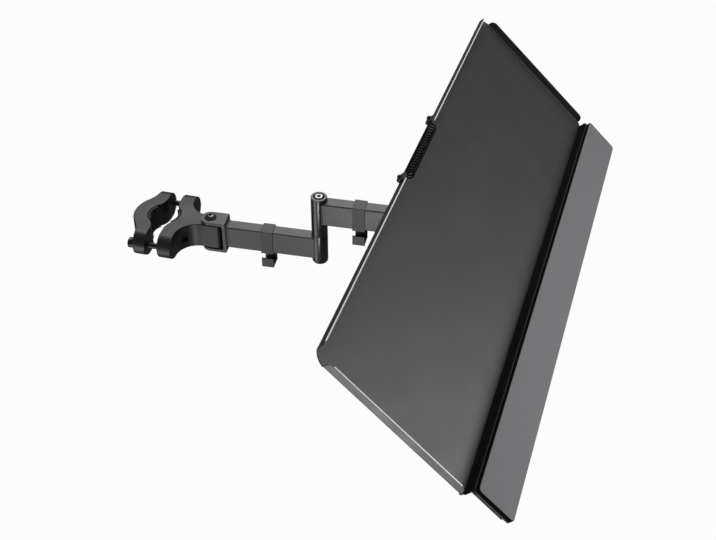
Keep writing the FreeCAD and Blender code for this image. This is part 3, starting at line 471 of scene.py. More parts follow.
def sockets_of(tree, kinds):
    """Give a node tree its geometry sockets and then one named input of each kind asked for."""
    tree.interface.new_socket("Geometry", in_out="INPUT", socket_type="NodeSocketGeometry")
    tree.interface.new_socket("Geometry", in_out="OUTPUT", socket_type="NodeSocketGeometry")
    for name, kind in kinds.items():
        tree.interface.new_socket(name, in_out="INPUT", socket_type="NodeSocket" + kind)
    return add(tree, "NodeGroupInput").outputs


def grown(piece, tree, values):
    """Run a node tree on a piece with these named inputs and keep the plain mesh that it makes."""
    modifier = piece.modifiers.new(tree.name, "NODES")
    modifier.node_group = tree
    for socket in tree.interface.items_tree:
        if socket.item_type == "SOCKET" and socket.name in values:
            modifier[socket.identifier] = values[socket.name]
    graph = bpy.context.evaluated_depsgraph_get()
    mesh = bpy.data.meshes.new_from_object(piece.evaluated_get(graph))
    piece.modifiers.remove(modifier)
    mesh.name = piece.name
    piece.data = mesh
    return piece


# The thread is a ridge of triangular section wound round the shank.
thread_tree = bpy.data.node_groups.new("rolled thread", "GeometryNodeTree")
inlet = sockets_of(
    thread_tree,
    {
        "Length": "Float",
        "Pitch": "Float",
        "Core Radius": "Float",
        "Crest Height": "Float",
        "Bottom": "Float",
        "Material": "Material",
    },
)
turns = add(thread_tree, "ShaderNodeMath", {0: inlet["Length"], 1: inlet["Pitch"]}, operation="DIVIDE")
helix = add(
    thread_tree,
    "GeometryNodeCurveSpiral",
    {
        "Resolution": 28,
        "Rotations": turns.outputs[0],
        "Start Radius": inlet["Core Radius"],
        "End Radius": inlet["Core Radius"],
        "Height": inlet["Length"],
    },
)
upright = add(thread_tree, "GeometryNodeSetCurveNormal", {"Curve": helix.outputs[0]}, mode="Z_UP")
ridge = add(
    thread_tree, "GeometryNodeCurvePrimitiveCircle", {"Resolution": 3, "Radius": inlet["Crest Height"]}
)
wound = add(
    thread_tree,
    "GeometryNodeCurveToMesh",
    {"Curve": upright.outputs[0], "Profile Curve": ridge.outputs[0], "Fill Caps": True},
)
drop = add(thread_tree, "ShaderNodeCombineXYZ", {"Z": inlet["Bottom"]})
lowered = add(
    thread_tree,
    "GeometryNodeTransform",
    {"Geometry": wound.outputs[0], "Translation": drop.outputs[0]},
)
flat = add(
    thread_tree, "GeometryNodeSetShadeSmooth", {"Geometry": lowered.outputs[0], "Shade Smooth": False}
)
both = add(thread_tree, "GeometryNodeJoinGeometry")
thread_tree.links.new(inlet["Geometry"], both.inputs[0])
thread_tree.links.new(flat.outputs[0], both.inputs[0])
real = add(thread_tree, "GeometryNodeRealizeInstances", {"Geometry": both.outputs[0]})
coloured = add(
    thread_tree, "GeometryNodeSetMaterial", {"Geometry": real.outputs[0], "Material": inlet["Material"]}
)
add(thread_tree, "NodeGroupOutput", {"Geometry": coloured.outputs[0]})


def steel(name, colour, roughness, grain_mm, coat=0.0):
    """A machined or rolled steel with fine random scratches under its plating or oxide."""
    scratch_depth = 0.00001
    material = bpy.data.materials.new(name)
    tree = new_tree(material)
    place = add(tree, "ShaderNodeTexCoord").outputs["Object"]
    grain = add(
        tree, "ShaderNodeTexNoise", {"Vector": place, "Scale": 1000 / grain_mm, "Detail": 5.0}
    )
    gloss = add(
        tree,
        "ShaderNodeMapRange",
        {"Value": grain.outputs["Fac"], "To Min": roughness * 0.7, "To Max": roughness * 1.3},
    )
    relief = add(tree, "ShaderNodeBump", {"Height": grain.outputs["Fac"], "Distance": scratch_depth})
    metal = add(
        tree,
        "ShaderNodeBsdfPrincipled",
        {
            "Base Color": linear(colour),
            "Metallic": 1.0,
            "Roughness": gloss.outputs[0],
            "Coat Weight": coat,
            "Coat Roughness": 0.2,
            "Normal": relief.outputs[0],
        },
    )
    add(tree, "ShaderNodeOutputMaterial", {"Surface": metal.outputs[0]})
    return material


# The oil gives the dark oxide a soft sheen.
oxide = steel("oiled black oxide steel", "#2b2b2d", roughness=0.32, grain_mm=0.8, coat=0.4)
m8_diameter, m8_pitch, m8_core = 8.0, 1.25, 6.7
thread_from_tip, thread_short_of_head = 0.6, 1.4
slide_way = Vector(joints["jaw_slide"]["axis"])
bolt_seats = [Vector(joints[f"{side}_bolt_turn"]["pos_m"]) for side in ("near", "far")]
for side, seat in zip(("near", "far"), bolt_seats):
    reach = (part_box(f"{side}_clamp_bolt")[1].x - seat.x) / slide_way.x * 1000
    bolt = cap_screw(
        f"{side}_cap_screw",
        diameter=m8_core,
        length=reach,
        head_diameter=13.0,
        head_height=8.0,
        socket=6.0,
        depth=4.0,
    )
    m8_thread = {
        "Length": (reach - thread_from_tip - thread_short_of_head) / 1000,
        "Pitch": m8_pitch / 1000,
        "Core Radius": m8_core / 2000,
        "Crest Height": (m8_diameter - m8_core) / 2000,
        "Bottom": -(reach - thread_from_tip) / 1000,
        "Material": oxide,
    }
    grown(bolt, thread_tree, m8_thread)
    bolt.data.transform(aimed(seat, -slide_way))
    fitted(bolt, f"{side}_bolt", "black_steel", oxide, f"{side}_clamp_bolt")

# Like screws and nuts stand in rows along their own X and Y, about the middle of the rows.
rows_tree = bpy.data.node_groups.new("rows of fasteners", "GeometryNodeTree")
inlet = sockets_of(
    rows_tree,
    {
        "Across Count": "Int",
        "Across Pitch": "Float",
        "Along Count": "Int",
        "Along Pitch": "Float",
        "Material": "Material",
    },
)
placed = inlet["Geometry"]
for way, axis in (("Across", "X"), ("Along", "Y")):
    count, pitch = inlet[way + " Count"], inlet[way + " Pitch"]
    gaps = add(rows_tree, "ShaderNodeMath", {0: count, 1: 1.0}, operation="SUBTRACT")
    span = add(rows_tree, "ShaderNodeMath", {0: gaps.outputs[0], 1: pitch}, operation="MULTIPLY")
    first = add(rows_tree, "ShaderNodeMath", {0: span.outputs[0], 1: -0.5}, operation="MULTIPLY")
    start = add(rows_tree, "ShaderNodeCombineXYZ", {axis: first.outputs[0]})
    step = add(rows_tree, "ShaderNodeCombineXYZ", {axis: pitch})
    row = add(
        rows_tree,
        "GeometryNodeMeshLine",
        {"Count": count, "Start Location": start.outputs[0], "Offset": step.outputs[0]},
    )
    placed = add(
        rows_tree, "GeometryNodeInstanceOnPoints", {"Points": row.outputs[0], "Instance": placed}
    ).outputs[0]
real = add(rows_tree, "GeometryNodeRealizeInstances", {"Geometry": placed})
coloured = add(
    rows_tree, "GeometryNodeSetMaterial", {"Geometry": real.outputs[0], "Material": inlet["Material"]}
)
add(rows_tree, "NodeGroupOutput", {"Geometry": coloured.outputs[0]})


def in_rows(piece, across, along, material):
    """Repeat a fastener in rows: each way is a count and a pitch in millimetres."""
    values = {
        "Across Count": across[0],
        "Across Pitch": across[1] / 1000,
        "Along Count": along[0],
        "Along Pitch": along[1] / 1000,
        "Material": material,
    }
    return grown(piece, rows_tree, values)


clamp_bolt_spacing = (bolt_seats[1] - bolt_seats[0]).length * 1000
between_bolts = (bolt_seats[0] + bolt_seats[1]) / 2
head_to_nut = 0.043
nut_seat = between_bolts + slide_way * head_to_nut
clamp_nut = hexagon_nut("clamp_nuts_m8", width=13.0, height=6.5, bore=8.1)
clamp_nuts = in_rows(clamp_nut, (1, 0), (2, clamp_bolt_spacing), oxide)
clamp_nuts.data.transform(aimed(nut_seat, slide_way, (0, 0, -1)))
fitted(clamp_nuts, "clamp_base", "black_steel", oxide, "clamp_nuts")


# First joint
# A steel clevis, milled to a U round the tail of the inner jaw, held by a domed M8 screw that is threaded
# into its lower ear. A nylon bush lines the tail and nylon washers keep the ears off the paint.
def eased(corners):
    """A profile of (height, radius, rounding) corners as stations, with each corner rounded."""
    steps = 4
    stations = []
    for k, corner in enumerate(corners):
        if len(corner) < 3:
            stations.append(corner)
            continue
        here = Vector(corner[:2])
        before = Vector(corners[k - 1][:2]) - here
        after = Vector(corners[(k + 1) % len(corners)][:2]) - here
        reach = min(corner[2], before.length * 0.49, after.length * 0.49)
        start, end = here + before.normalized() * reach, here + after.normalized() * reach
        for step in range(steps + 1):
            t = step / steps
            stations.append(tuple(start * (1 - t) ** 2 + here * 2 * t * (1 - t) + end * t**2))
    return stations


def button_screw(name, diameter, length, head_diameter, head_height, socket):
    """A domed socket screw: seat at the origin, head up, shank down."""
    shank, rim, mouth = diameter / 2, head_diameter / 2, socket / 2 * 1.2
    tip_chamfer, rim_break, dome = 0.4, 0.2, head_height * 0.8
    crown = (rim**2 + dome**2) / (2 * dome)
    skin = [rim + (mouth - rim) * k / 10 for k in range(11)]
    stations = [(-length, 0), (-length, shank - tip_chamfer), (-length + tip_chamfer, shank), (0, shank)]
    stations += [(0, rim - rim_break), (rim_break, rim)]
    stations += [(head_height - crown + math.sqrt(crown**2 - r**2), r) for r in skin]
    stations += [
        (head_height - 0.55, across_flats(socket)),
        (head_height / 2, across_flats(socket)),
        (head_height / 2 - 0.3, 0),
    ]
    return turned(name, stations)


pivot = Vector(joints["first_arm_swing"]["pos_m"])
ear_top = Vector((0, 0, 0.0221))
pivot_screw = button_screw(
    "pivot_screw_m8", diameter=8.0, length=44.2, head_diameter=15.0, head_height=4.6, socket=5.0
)
pivot_screw.data.transform(aimed(pivot + ear_top, (0, 0, 1)))
# The dome is polished before it is blackened, so it mirrors the lamps as small sharp spots.
domed_oxide = steel("polished black oxide steel", "#4c4c4f", roughness=0.1, grain_mm=0.8, coat=1.0)
fitted(pivot_screw, "arm_1", "black_steel", domed_oxide, "pivot_bolt")

# The coat on drawn steel is thinner and smoother than on the castings, and shows a greyer black.
tube_coat = powder_coat(
    "powder coat on steel tube", "#3e3e40", peel_depth_mm=0.012, roughness=0.4, wear=0.03
)
finished("clevis_bracket", "milled_clevis", "tube_paint", tube_coat, 0.3)

# Moulded nylon is near black with a waxy shine.
nylon = moulded("black nylon", "#1a1a1b", grain_mm=0.9, grain_depth_mm=0.01, roughness=0.42, ior=1.53)
finished("pivot_washers", "pivot_washer_pair", "nylon", nylon, 0.15)
finished("pivot_bush", "pivot_sleeve", "nylon", nylon, 0.15)


# Arm tubes and their welds
# Rectangular steel tube, coped to the barrels and welded all round, then powder coated as one piece, so
# the bead shows only as a low rippled line under the paint.
finished("arm_1_tube", "first_arm_tube", "tube_paint", tube_coat, 0.12)
finished("arm_2_tube", "second_arm_tube", "tube_paint", tube_coat, 0.12)

bead_tree = bpy.data.node_groups.new("weld bead", "GeometryNodeTree")
inlet = sockets_of(
    bead_tree,
    {"Bead Radius": "Float", "Ripple Pitch": "Float", "Ripple Share": "Float", "Material": "Material"},
)
seam = add(bead_tree, "GeometryNodeMeshToCurve", {"Mesh": inlet["Geometry"]})
grid = add(bead_tree, "ShaderNodeMath", {0: inlet["Ripple Pitch"], 1: 6.0}, operation="DIVIDE")
even = add(
    bead_tree,
    "GeometryNodeResampleCurve",
    {"Curve": seam.outputs[0], "Length": grid.outputs[0]},
    mode="LENGTH",
)
run = add(bead_tree, "GeometryNodeSplineParameter").outputs["Length"]
phase = add(bead_tree, "ShaderNodeMath", {0: run, 1: inlet["Ripple Pitch"]}, operation="DIVIDE")
angle = add(bead_tree, "ShaderNodeMath", {0: phase.outputs[0], 1: 2 * math.pi}, operation="MULTIPLY")
wave = add(bead_tree, "ShaderNodeMath", {0: angle.outputs[0]}, operation="SINE")
ripple = add(
    bead_tree,
    "ShaderNodeMath",
    {0: wave.outputs[0], 1: inlet["Ripple Share"], 2: 1.0},
    operation="MULTIPLY_ADD",
)
swollen = add(
    bead_tree, "GeometryNodeSetCurveRadius", {"Curve": even.outputs[0], "Radius": ripple.outputs[0]}
)
section = add(
    bead_tree, "GeometryNodeCurvePrimitiveCircle", {"Resolution": 10, "Radius": inlet["Bead Radius"]}
)
bead = add(
    bead_tree,
    "GeometryNodeCurveToMesh",
    {"Curve": swollen.outputs[0], "Profile Curve": section.outputs[0]},
)
real = add(bead_tree, "GeometryNodeRealizeInstances", {"Geometry": bead.outputs[0]})
coloured = add(
    bead_tree, "GeometryNodeSetMaterial", {"Geometry": real.outputs[0], "Material": inlet["Material"]}
)
add(bead_tree, "NodeGroupOutput", {"Geometry": coloured.outputs[0]})


tube_width, tube_height, tube_corner = 17.0, 31.5, 2.0


def rounded_rectangle(half_x, half_y, corner, steps):
    """Points once round a rectangle with rounded corners."""
    points = []
    for quarter, (x, y) in enumerate(((1, 1), (-1, 1), (-1, -1), (1, -1))):
        for k in range(steps + 1):
            angle = math.pi / 2 * (quarter + k / steps)
            points.append(
                (
                    x * (half_x - corner) + corner * math.cos(angle),
                    y * (half_y - corner) + corner * math.sin(angle),
                )
            )
    return points


def divided(points, step):
    """The same closed line with points no further apart than a step."""
    line = []
    for a, b in zip(points, points[1:] + points[:1]):
        parts = max(1, math.ceil(math.dist(a, b) / step))
        line += [(a[0] + (b[0] - a[0]) * k / parts, a[1] + (b[1] - a[1]) * k / parts) for k in range(parts)]
    return line


def weld_beads(name, body, welds):
    """Beads round tube ends: (end of the tube, way that the barrel bulges, its radius or 0 for flat)."""
    vertices, edges = [], []
    outline = divided(rounded_rectangle(tube_width / 2, tube_height / 2, tube_corner, 3), 1.0)
    for end, way, radius in welds:
        first = len(vertices)
        for y, z in outline:
            bulge = math.sqrt(radius**2 - y**2) if radius else 0.0
            vertices.append(end + Vector((way * bulge, y, z)) / 1000)
        count = len(outline)
        edges += [(first + k, first + (k + 1) % count) for k in range(count)]
    mesh = bpy.data.meshes.new(name)
    mesh.from_pydata(vertices, edges, [])
    beads = bpy.data.objects.new(name, mesh)
    bpy.context.scene.collection.objects.link(beads)
    values = {
        "Bead Radius": 0.0008,
        "Ripple Pitch": 0.0013,
        "Ripple Share": 0.16,
        "Material": tube_coat,
    }
    grown(beads, bead_tree, values)
    fitted(beads, body, "tube_paint", tube_coat)


barrel = Vector(joints["second_arm_swing"]["pos_m"])
swivel = Vector(joints["tray_swivel"]["pos_m"])
second_arm_rise = Vector((0, 0, 0.053))
clevis_web = pivot + Vector((0.0215, 0, 0))
weld_beads("first_arm_welds", "arm_1", [(clevis_web, 1, 0), (barrel, -1, 10.0)])
weld_beads(
    "second_arm_welds",
    "arm_2",
    [(barrel + second_arm_rise, 1, 10.0), (swivel + second_arm_rise, -1, 11.0)],
)


# Cable clips
# Injection moulded sleeves that are pushed over the tubes, each with a channel under it for a cable. The
# mould was spark eroded, which leaves a visible grain, drawn here a little coarser than the real 0.3 mm.
clip_plastic = moulded(
    "spark grained black plastic", "#2e2e30", grain_mm=1.2, grain_depth_mm=0.08, roughness=0.5, ior=1.5
)
finished("cable_clip_1", "first_cable_clip", "clip_plastic", clip_plastic, 0.2)
finished("cable_clip_2", "second_cable_clip", "clip_plastic", clip_plastic, 0.2)


# Middle joint
# Two turned barrels, one on each arm, on a bright zinc plated screw. Flanged nylon bushes keep the steel
# apart: a thin flange is the dark ring at the seam and a thick one caps the barrel round the screw head.
barrel_radius, pin_bore = 10.0, 4.05
bush_radius, bush_bore, bush_depth = 7.45, 7.5, 16.0
lower_barrel_top, upper_barrel_foot, upper_barrel_top = 19.0, 20.05, 72.0
cap_top, cap_well = 74.5, 69.5
pin_seat = Vector((0, 0, 0.0708))


def barrel_piece(name, foot, node, slot, material, body, corners, closed=True):
    """A turned piece on an upright axis that replaces its node. Its corners are (height, radius) in
    millimetres, with a rounding where the corner has one."""
    piece = turned(name, eased(corners), closed=closed)
    piece.data.transform(Matrix.Translation(foot))
    return fitted(piece, body, slot, material, node)


# Over a turned surface the coat is glossier, so a bright streak runs down each barrel.
barrel_coat = powder_coat(
    "powder coat on turned steel", "#18181a", peel_depth_mm=0.008, roughness=0.26, wear=0.03
)
barrel_piece(
    "lower_barrel_turned",
    barrel,
    "lower_barrel",
    "tube_paint",
    barrel_coat,
    "arm_1",
    [
        (-23.5, 0),
        (-23.5, barrel_radius, 3.6),
        (lower_barrel_top, barrel_radius, 0.35),
        (lower_barrel_top, pin_bore, 0.3),
        (-15.05, pin_bore),
        (-15.05, 0),
    ],
    closed=False,
)
barrel_piece(
    "upper_barrel_turned",
    barrel,
    "upper_barrel",
    "tube_paint",
    barrel_coat,
    "arm_2",
    [
        (upper_barrel_foot, bush_bore),
        (upper_barrel_foot, barrel_radius, 0.35),
        (upper_barrel_top, barrel_radius, 0.3),
        (upper_barrel_top, bush_bore),
    ],
)
barrel_piece(
    "seam_bush_moulded",
    barrel,
    "barrel_seam_bush",
    "nylon",
    nylon,
    "arm_2",
    [
        (lower_barrel_top + 0.05, pin_bore),
        (lower_barrel_top + 0.05, 9.8, 0.2),
        (upper_barrel_foot, 9.8, 0.2),
        (upper_barrel_foot, bush_radius),
        (upper_barrel_foot + bush_depth, bush_radius, 0.4),
        (upper_barrel_foot + bush_depth, pin_bore),
    ],
)
# The cap is black nylon, painted mid grey as painted light for the overhead lamp that falls on its top, and
# is given a smoother finish than the other bushes.
cap_nylon_painted_light = moulded(
    "nylon cap lightened as painted light", "#4a4a4c", grain_mm=0.9, grain_depth_mm=0.01, roughness=0.24, ior=1.53
)
barrel_piece(
    "top_bush_moulded",
    barrel,
    "barrel_top_bush",
    "nylon",
    cap_nylon_painted_light,
    "arm_2",
    [
        (upper_barrel_top - bush_depth, pin_bore),
        (upper_barrel_top - bush_depth, bush_radius, 0.4),
        (upper_barrel_top, bush_radius),
        (upper_barrel_top, barrel_radius, 0.2),
        (cap_top, barrel_radius, 1.0),
        (cap_top, 7.0, 0.3),
        (cap_well, 7.0),
        (cap_well, pin_bore),
    ],
)
# Bright zinc is the only light metal on the part, and is slightly blue.
zinc = steel("bright zinc plate", "#909296", roughness=0.24, grain_mm=0.6)
barrel_piece(
    "barrel_washer_plated",
    barrel,
    "barrel_pin_washer",
    "bright_steel",
    zinc,
    "arm_1",
    [
        (cap_well + 0.05, pin_bore),
        (cap_well + 0.05, 6.7, 0.25),
        (cap_well + 1.25, 6.7, 0.25),
        (cap_well + 1.25, pin_bore, 0.15),
    ],
)
pin = cap_screw(
    "barrel_screw_plated",
    diameter=8.0,
    length=85.8,
    head_diameter=10.6,
    head_height=4.2,
    socket=4.0,
    depth=7.0,
)
pin.data.transform(aimed(barrel + pin_seat, (0, 0, 1)))
fitted(pin, "arm_1", "bright_steel", zinc, "barrel_pin")


# Swivel under the tray
# A barrel welded to the end of the second arm, with a flanged nylon bush in each end and a turned post
# through both. A washer and a domed M6 screw keep the post in from below.
swivel_foot, swivel_top, swivel_radius, post_bore = 32.5, 72.5, 11.0, 5.05
bush_flange = 1.5
barrel_piece(
    "swivel_barrel_turned",
    swivel,
    "swivel_barrel",
    "tube_paint",
    barrel_coat,
    "arm_2",
    [
        (swivel_foot, bush_bore),
        (swivel_foot, swivel_radius, 0.35),
        (swivel_top, swivel_radius, 0.35),
        (swivel_top, bush_bore),
    ],
)
for name, end, way in (("top", swivel_top, 1), ("bottom", swivel_foot, -1)):
    barrel_piece(
        f"swivel_{name}_bush_moulded",
        swivel,
        f"swivel_{name}_bush",
        "nylon",
        nylon,
        "arm_2",
        [
            (end - way * bush_depth, post_bore),
            (end - way * bush_depth, bush_radius, 0.4),
            (end, bush_radius),
            (end, swivel_radius, 0.2),
            (end + way * bush_flange, swivel_radius, 0.4),
            (end + way * bush_flange, post_bore, 0.2),
        ],
    )
washer_foot, post_foot, screw_bore = 29.45, 30.95, 3.05
barrel_piece(
    "swivel_post_turned",
    swivel,
    "swivel_post",
    "black_steel",
    oxide,
    "tilt_head",
    [
        (43.5, 0),
        (43.5, screw_bore),
        (post_foot, screw_bore),
        (post_foot, 5.0, 0.3),
        (77.05, 5.0, 0.5),
        (77.05, 0),
    ],
    closed=False,
)
barrel_piece(
    "swivel_washer_pressed",
    swivel,
    "swivel_washer",
    "black_steel",
    oxide,
    "tilt_head",
    [
        (washer_foot, screw_bore),
        (washer_foot, 10.0, 0.4),
        (post_foot, 10.0, 0.2),
        (post_foot, screw_bore),
    ],
)
swivel_screw = button_screw(
    "swivel_screw_m6", diameter=6.0, length=14.0, head_diameter=10.5, head_height=3.3, socket=4.0
)
swivel_screw.data.transform(aimed(swivel + Vector((0, 0, washer_foot / 1000)), (0, 0, -1)))
fitted(swivel_screw, "tilt_head", "black_steel", oxide, "swivel_screw")


# Tilt head
# A folded yoke on the post and a second folded bracket between its ears, clamped by a hexagon bolt with
# a nut. The nylon washers between them give the friction that holds the tray at its slope.
def hexagon_bolt(name, diameter, length, width, head_height):
    """A hexagon head bolt: seat at the origin, head up, shank down."""
    shank, face = diameter / 2, width / 2 * hexagon_face_share
    flats = across_flats(width)
    slope = hexagon_chamfer_slope
    stations = [
        (-length, 0),
        (-length, shank - shank_chamfer),
        (-length + shank_chamfer, shank),
        (0, shank),
        (0, face),
        (0.3, face),
        (0.3, flats),
        (lambda angle: head_height - (flats(angle) - face) * slope, flats),
        (head_height, face),
        (head_height, 0),
    ]
    return turned(name, stations)


finished("tilt_yoke", "folded_yoke", "tube_paint", tube_coat, 0.3)
finished("tray_bracket", "folded_tray_bracket", "tube_paint", tube_coat, 0.3)
finished("bracket_plate", "bracket_plate_pressed", "tube_paint", tube_coat, 0.3)
finished("friction_washers", "friction_washer_pair", "nylon", nylon, 0.15)

tilt_axis = Vector(joints["tray_tilt"]["axis"])
tilt_point = Vector(joints["tray_tilt"]["pos_m"])
to_ear_face = tilt_axis * 0.024
tilt_bolt = hexagon_bolt("tilt_bolt_m8", diameter=8.0, length=56.05, width=13.0, head_height=5.3)
tilt_bolt.data.transform(aimed(tilt_point - to_ear_face, -tilt_axis, (0, 0, 1)))
fitted(tilt_bolt, "tilt_head", "black_steel", oxide, "tilt_bolt")
tilt_nut = hexagon_nut("tilt_nut_m8", width=13.0, height=8.0, bore=8.1)
tilt_nut.data.transform(aimed(tilt_point + to_ear_face, tilt_axis, (0, 0, 1)))
fitted(tilt_nut, "tilt_head", "black_steel", oxide, "tilt_nut")


# Studs and nuts under the tray
# Four M5 studs are welded under the sheet, so that no screw head shows on top, and hexagon nuts pull the
# bracket plate up against it.
tray_yaw_deg = -5.5
tray_slope_deg = 43.5
tilt_from_back, tilt_off_middle, tilt_below_panel = 58.7, 2.6, 22.7
sheet_thickness, plate_thickness = 1.5, 3.0
studs_across, studs_along = (2, 53.0), (2, 96.0)
tray_frame = (
    Matrix.Translation(tilt_point)
    @ Matrix.Rotation(math.radians(tray_yaw_deg), 4, "Z")
    @ Matrix.Rotation(math.radians(tray_slope_deg), 4, "Y")
    @ Matrix.Translation(Vector((-tilt_from_back, -tilt_off_middle, tilt_below_panel)) / 1000)
)


def on_tray(x, y, z, direction=(0, 0, 1), across=(1, 0, 0)):
    """A place and direction in the tray's own frame, in millimetres from its back edge and top face."""
    return tray_frame @ aimed(Vector((x, y, z)) / 1000, direction, across)


stud = turned("tray_studs_m5", [(0, 0), (0, 2.1), (8.7, 2.1), (9.2, 1.7), (9.2, 0)])
m5_thread = {
    "Length": 0.0088,
    "Pitch": 0.0008,
    "Core Radius": 0.0021,
    "Crest Height": 0.0004,
    "Bottom": 0.0002,
    "Material": oxide,
}
studs = in_rows(grown(stud, thread_tree, m5_thread), studs_across, studs_along, oxide)
studs.data.transform(on_tray(tilt_from_back, tilt_off_middle, -sheet_thickness, (0, 0, -1)))
fitted(studs, "tray", "black_steel", oxide, "tray_studs")
nut = hexagon_nut("tray_nuts_m5", width=8.0, height=4.7, bore=5.1)
nuts = in_rows(nut, studs_across, studs_along, oxide)
plate_face = -sheet_thickness - plate_thickness
nuts.data.transform(on_tray(tilt_from_back, tilt_off_middle, plate_face, (0, 0, -1)))
fitted(nuts, "tray", "black_steel", oxide, "tray_nuts")


# Tray sheet
# One sheet of 1.5 mm steel, cut, folded up at the back, at both ends and to a ledge at the front, then
# powder coated satin black. The top cut edges of the near and back flanges are painted light grey: a
# painted highlight that draws them as thin bright lines. The inside of the front fold is painted matt and
# nearly black: painted shade.
sheet_coat = powder_coat(
    "powder coat on folded sheet", "#242426", peel_depth_mm=0.01, roughness=0.5, wear=0.03
)
tray = finished(
    "tray_panel back_flanges end_flanges front_wall rest_ledge", "folded_tray", "sheet_paint", sheet_coat, 0.3
)
# Light grey coat for the top cut edges of the near and back flanges: a painted highlight.
painted_edge_highlight = powder_coat("painted highlight on the cut edge", "#b0b0b2", peel_depth_mm=0.004, roughness=0.35, wear=0.02)
tray.data.materials.append(painted_edge_highlight)
# Near black, matt coat inside the front fold of the sheet: painted shade.
painted_fold_shade = moulded(
    "painted shade inside the fold", "#070708", grain_mm=1.1, grain_depth_mm=0.03, roughness=0.85, ior=1.15
)
tray.data.materials.append(painted_fold_shade)
panel_up = tray_frame.to_3x3() @ Vector((0, 0, 1))
back_flange_front, near_flange_side, near_flange_front = 10.0, -345.0, 200.0
flange_edge_foot = 6.0
fold_start, fold_end = 207.5, 212.5
# Top cut edge faces of the near and back flanges get the painted highlight, faces inside the front fold the
# painted shade.
for face in tray.data.polygons:
    place = tray_frame.inverted() @ face.center * 1000
    on_top_edge = face.normal.dot(panel_up) > 0.99 and place.z > flange_edge_foot
    on_near_flange = place.y < near_flange_side and place.x < near_flange_front
    if on_top_edge and (on_near_flange or place.x < back_flange_front):
        face.material_index = 1
    if fold_start < place.x < fold_end and place.z > 0:
        face.material_index = 2


# Palm rest
# Firm black closed-cell foam under a matt grey skin, die cut and bonded to a thin board, which six cross
# recessed pan head screws hold to the ledge from below. The cut edge rolls over into the top.
# The board is sawn from matt sheet and shows only as a dull dark line under the foam.
board_plastic = moulded(
    "matt black board", "#202021", grain_mm=1.0, grain_depth_mm=0.02, roughness=0.6, ior=1.5
)
finished("palm_rest_board", "rest_board_cut", "rest_board", board_plastic, 0.15)

pad_back, pad_foot, pad_thickness = 212.0, 11.55, 5.5
pad_half_width, pad_half_length, pad_corner, corner_steps = 26.25, 351.0, 5.0, 8
edge_radius, edge_steps, crown = 1.6, 6, 0.45
# Rings are (inset, height): a tucked foot, a waist pinched by the die, the rolled edge and a low crown.
rings = [(0.5, 0.0), (0.15, 0.15), (0.0, 0.5), (0.12, 2.2)]
shoulder = pad_thickness - crown
for k in range(edge_steps + 1):
    angle = math.pi / 2 * k / edge_steps
    rings.append(
        (edge_radius * (1 - math.cos(angle)), shoulder - edge_radius * (1 - math.sin(angle)))
    )
for inset in (3.0, 6.0, 10.0, 15.0, 20.0, 26.0):
    rings.append((inset, shoulder + crown * (1 - (1 - inset / pad_half_width) ** 2)))
work = bmesh.new()
loops = []
for inset, height in rings:
    corner = max(pad_corner - inset, 0.2)
    outline = rounded_rectangle(pad_half_width - inset, pad_half_length - inset, corner, corner_steps)
    loops.append([work.verts.new(Vector((x, y, height)) / 1000) for x, y in outline])
for low, high in zip(loops, loops[1:]):
    for k in range(len(low)):
        after = (k + 1) % len(low)
        work.faces.new((low[k], low[after], high[after], high[k]))
work.faces.new(loops[-1])
work.faces.new(list(reversed(loops[0])))
shade(work)
pad_mesh = bpy.data.meshes.new("rest_pad_foam")
work.to_mesh(pad_mesh)
work.free()
pad_mesh.transform(on_tray(pad_back + pad_half_width, 0, pad_foot))
pad = bpy.data.objects.new("rest_pad_foam", pad_mesh)
bpy.context.scene.collection.objects.link(pad)
# The skin scatters the light to an even mid grey. The sides and the steep part of the rolled edge take the
# near black of the cut foam, which is both the foam's own black and painted shade.
foam = moulded(
    "skinned closed-cell foam", "#565658", grain_mm=1.1, grain_depth_mm=0.03, roughness=0.82, ior=1.4
)
fitted(pad, "tray", "rest_pad", foam, "palm_rest_pad")
# Near black for the pad's sides: the cut foam's own black, and painted shade as well.
cut_foam_and_painted_shade = moulded(
    "black cut foam with painted shade", "#070708", grain_mm=1.1, grain_depth_mm=0.05, roughness=0.9, ior=1.12
)
pad.data.materials.append(cut_foam_and_painted_shade)
skin_end_and_shade_slope = 0.8
# Faces that tip away from the top take the near black: the cut foam's colour and painted shade.
for face in pad.data.polygons:
    if face.normal.dot(panel_up) < skin_end_and_shade_slope:
        face.material_index = 1


def crossed(reach, half_width):
    """The radius of a cross recess by the angle."""

    def radius(angle):
        along, across = (max(abs(turn(angle)), 1e-6) for turn in (math.cos, math.sin))
        return max(min(reach / along, half_width / across), min(half_width / along, reach / across))

    return radius


pan_screw = turned(
    "rest_screws_pan_head",
    [
        (-3.55, 0),
        (-3.55, 1.45),
        (-3.25, 1.75),
        (0, 1.75),
        (0, 3.35),
        (0.15, 3.5),
        (0.9, 3.4),
        (1.5, 3.0),
        (1.85, 2.4),
        (2.0, 1.9),
        (2.0, crossed(1.7, 0.45)),
        (1.0, crossed(1.2, 0.35)),
        (0.8, 0),
    ],
)
screw_count, screw_pitch, screws_from_back, ledge_underside = 6, 120.0, 232.0, 8.0
in_rows(pan_screw, (1, 0), (screw_count, screw_pitch), oxide)
pan_screw.data.transform(on_tray(screws_from_back, 0, ledge_underside, (0, 0, -1)))
fitted(pan_screw, "tray", "black_steel", oxide, "palm_rest_screws")


# Cable keeper
# An open coil of spring wire lies in the notch of the back flange, and cables are pressed between its
# turns. Its ends are held in two moulded blocks, each with a small socket screw to the flange.
coil_middle = Vector((3.4, 6.5, 6.3))
coil_radius, wire_radius = 5.1, 0.9
coil_pitch, coil_turns = 5.8, 18
tail_bend, tail_reach, tail_grip = 2.5, 57.0, 3.2
bend_steps, steps_in_turn = 8, 28


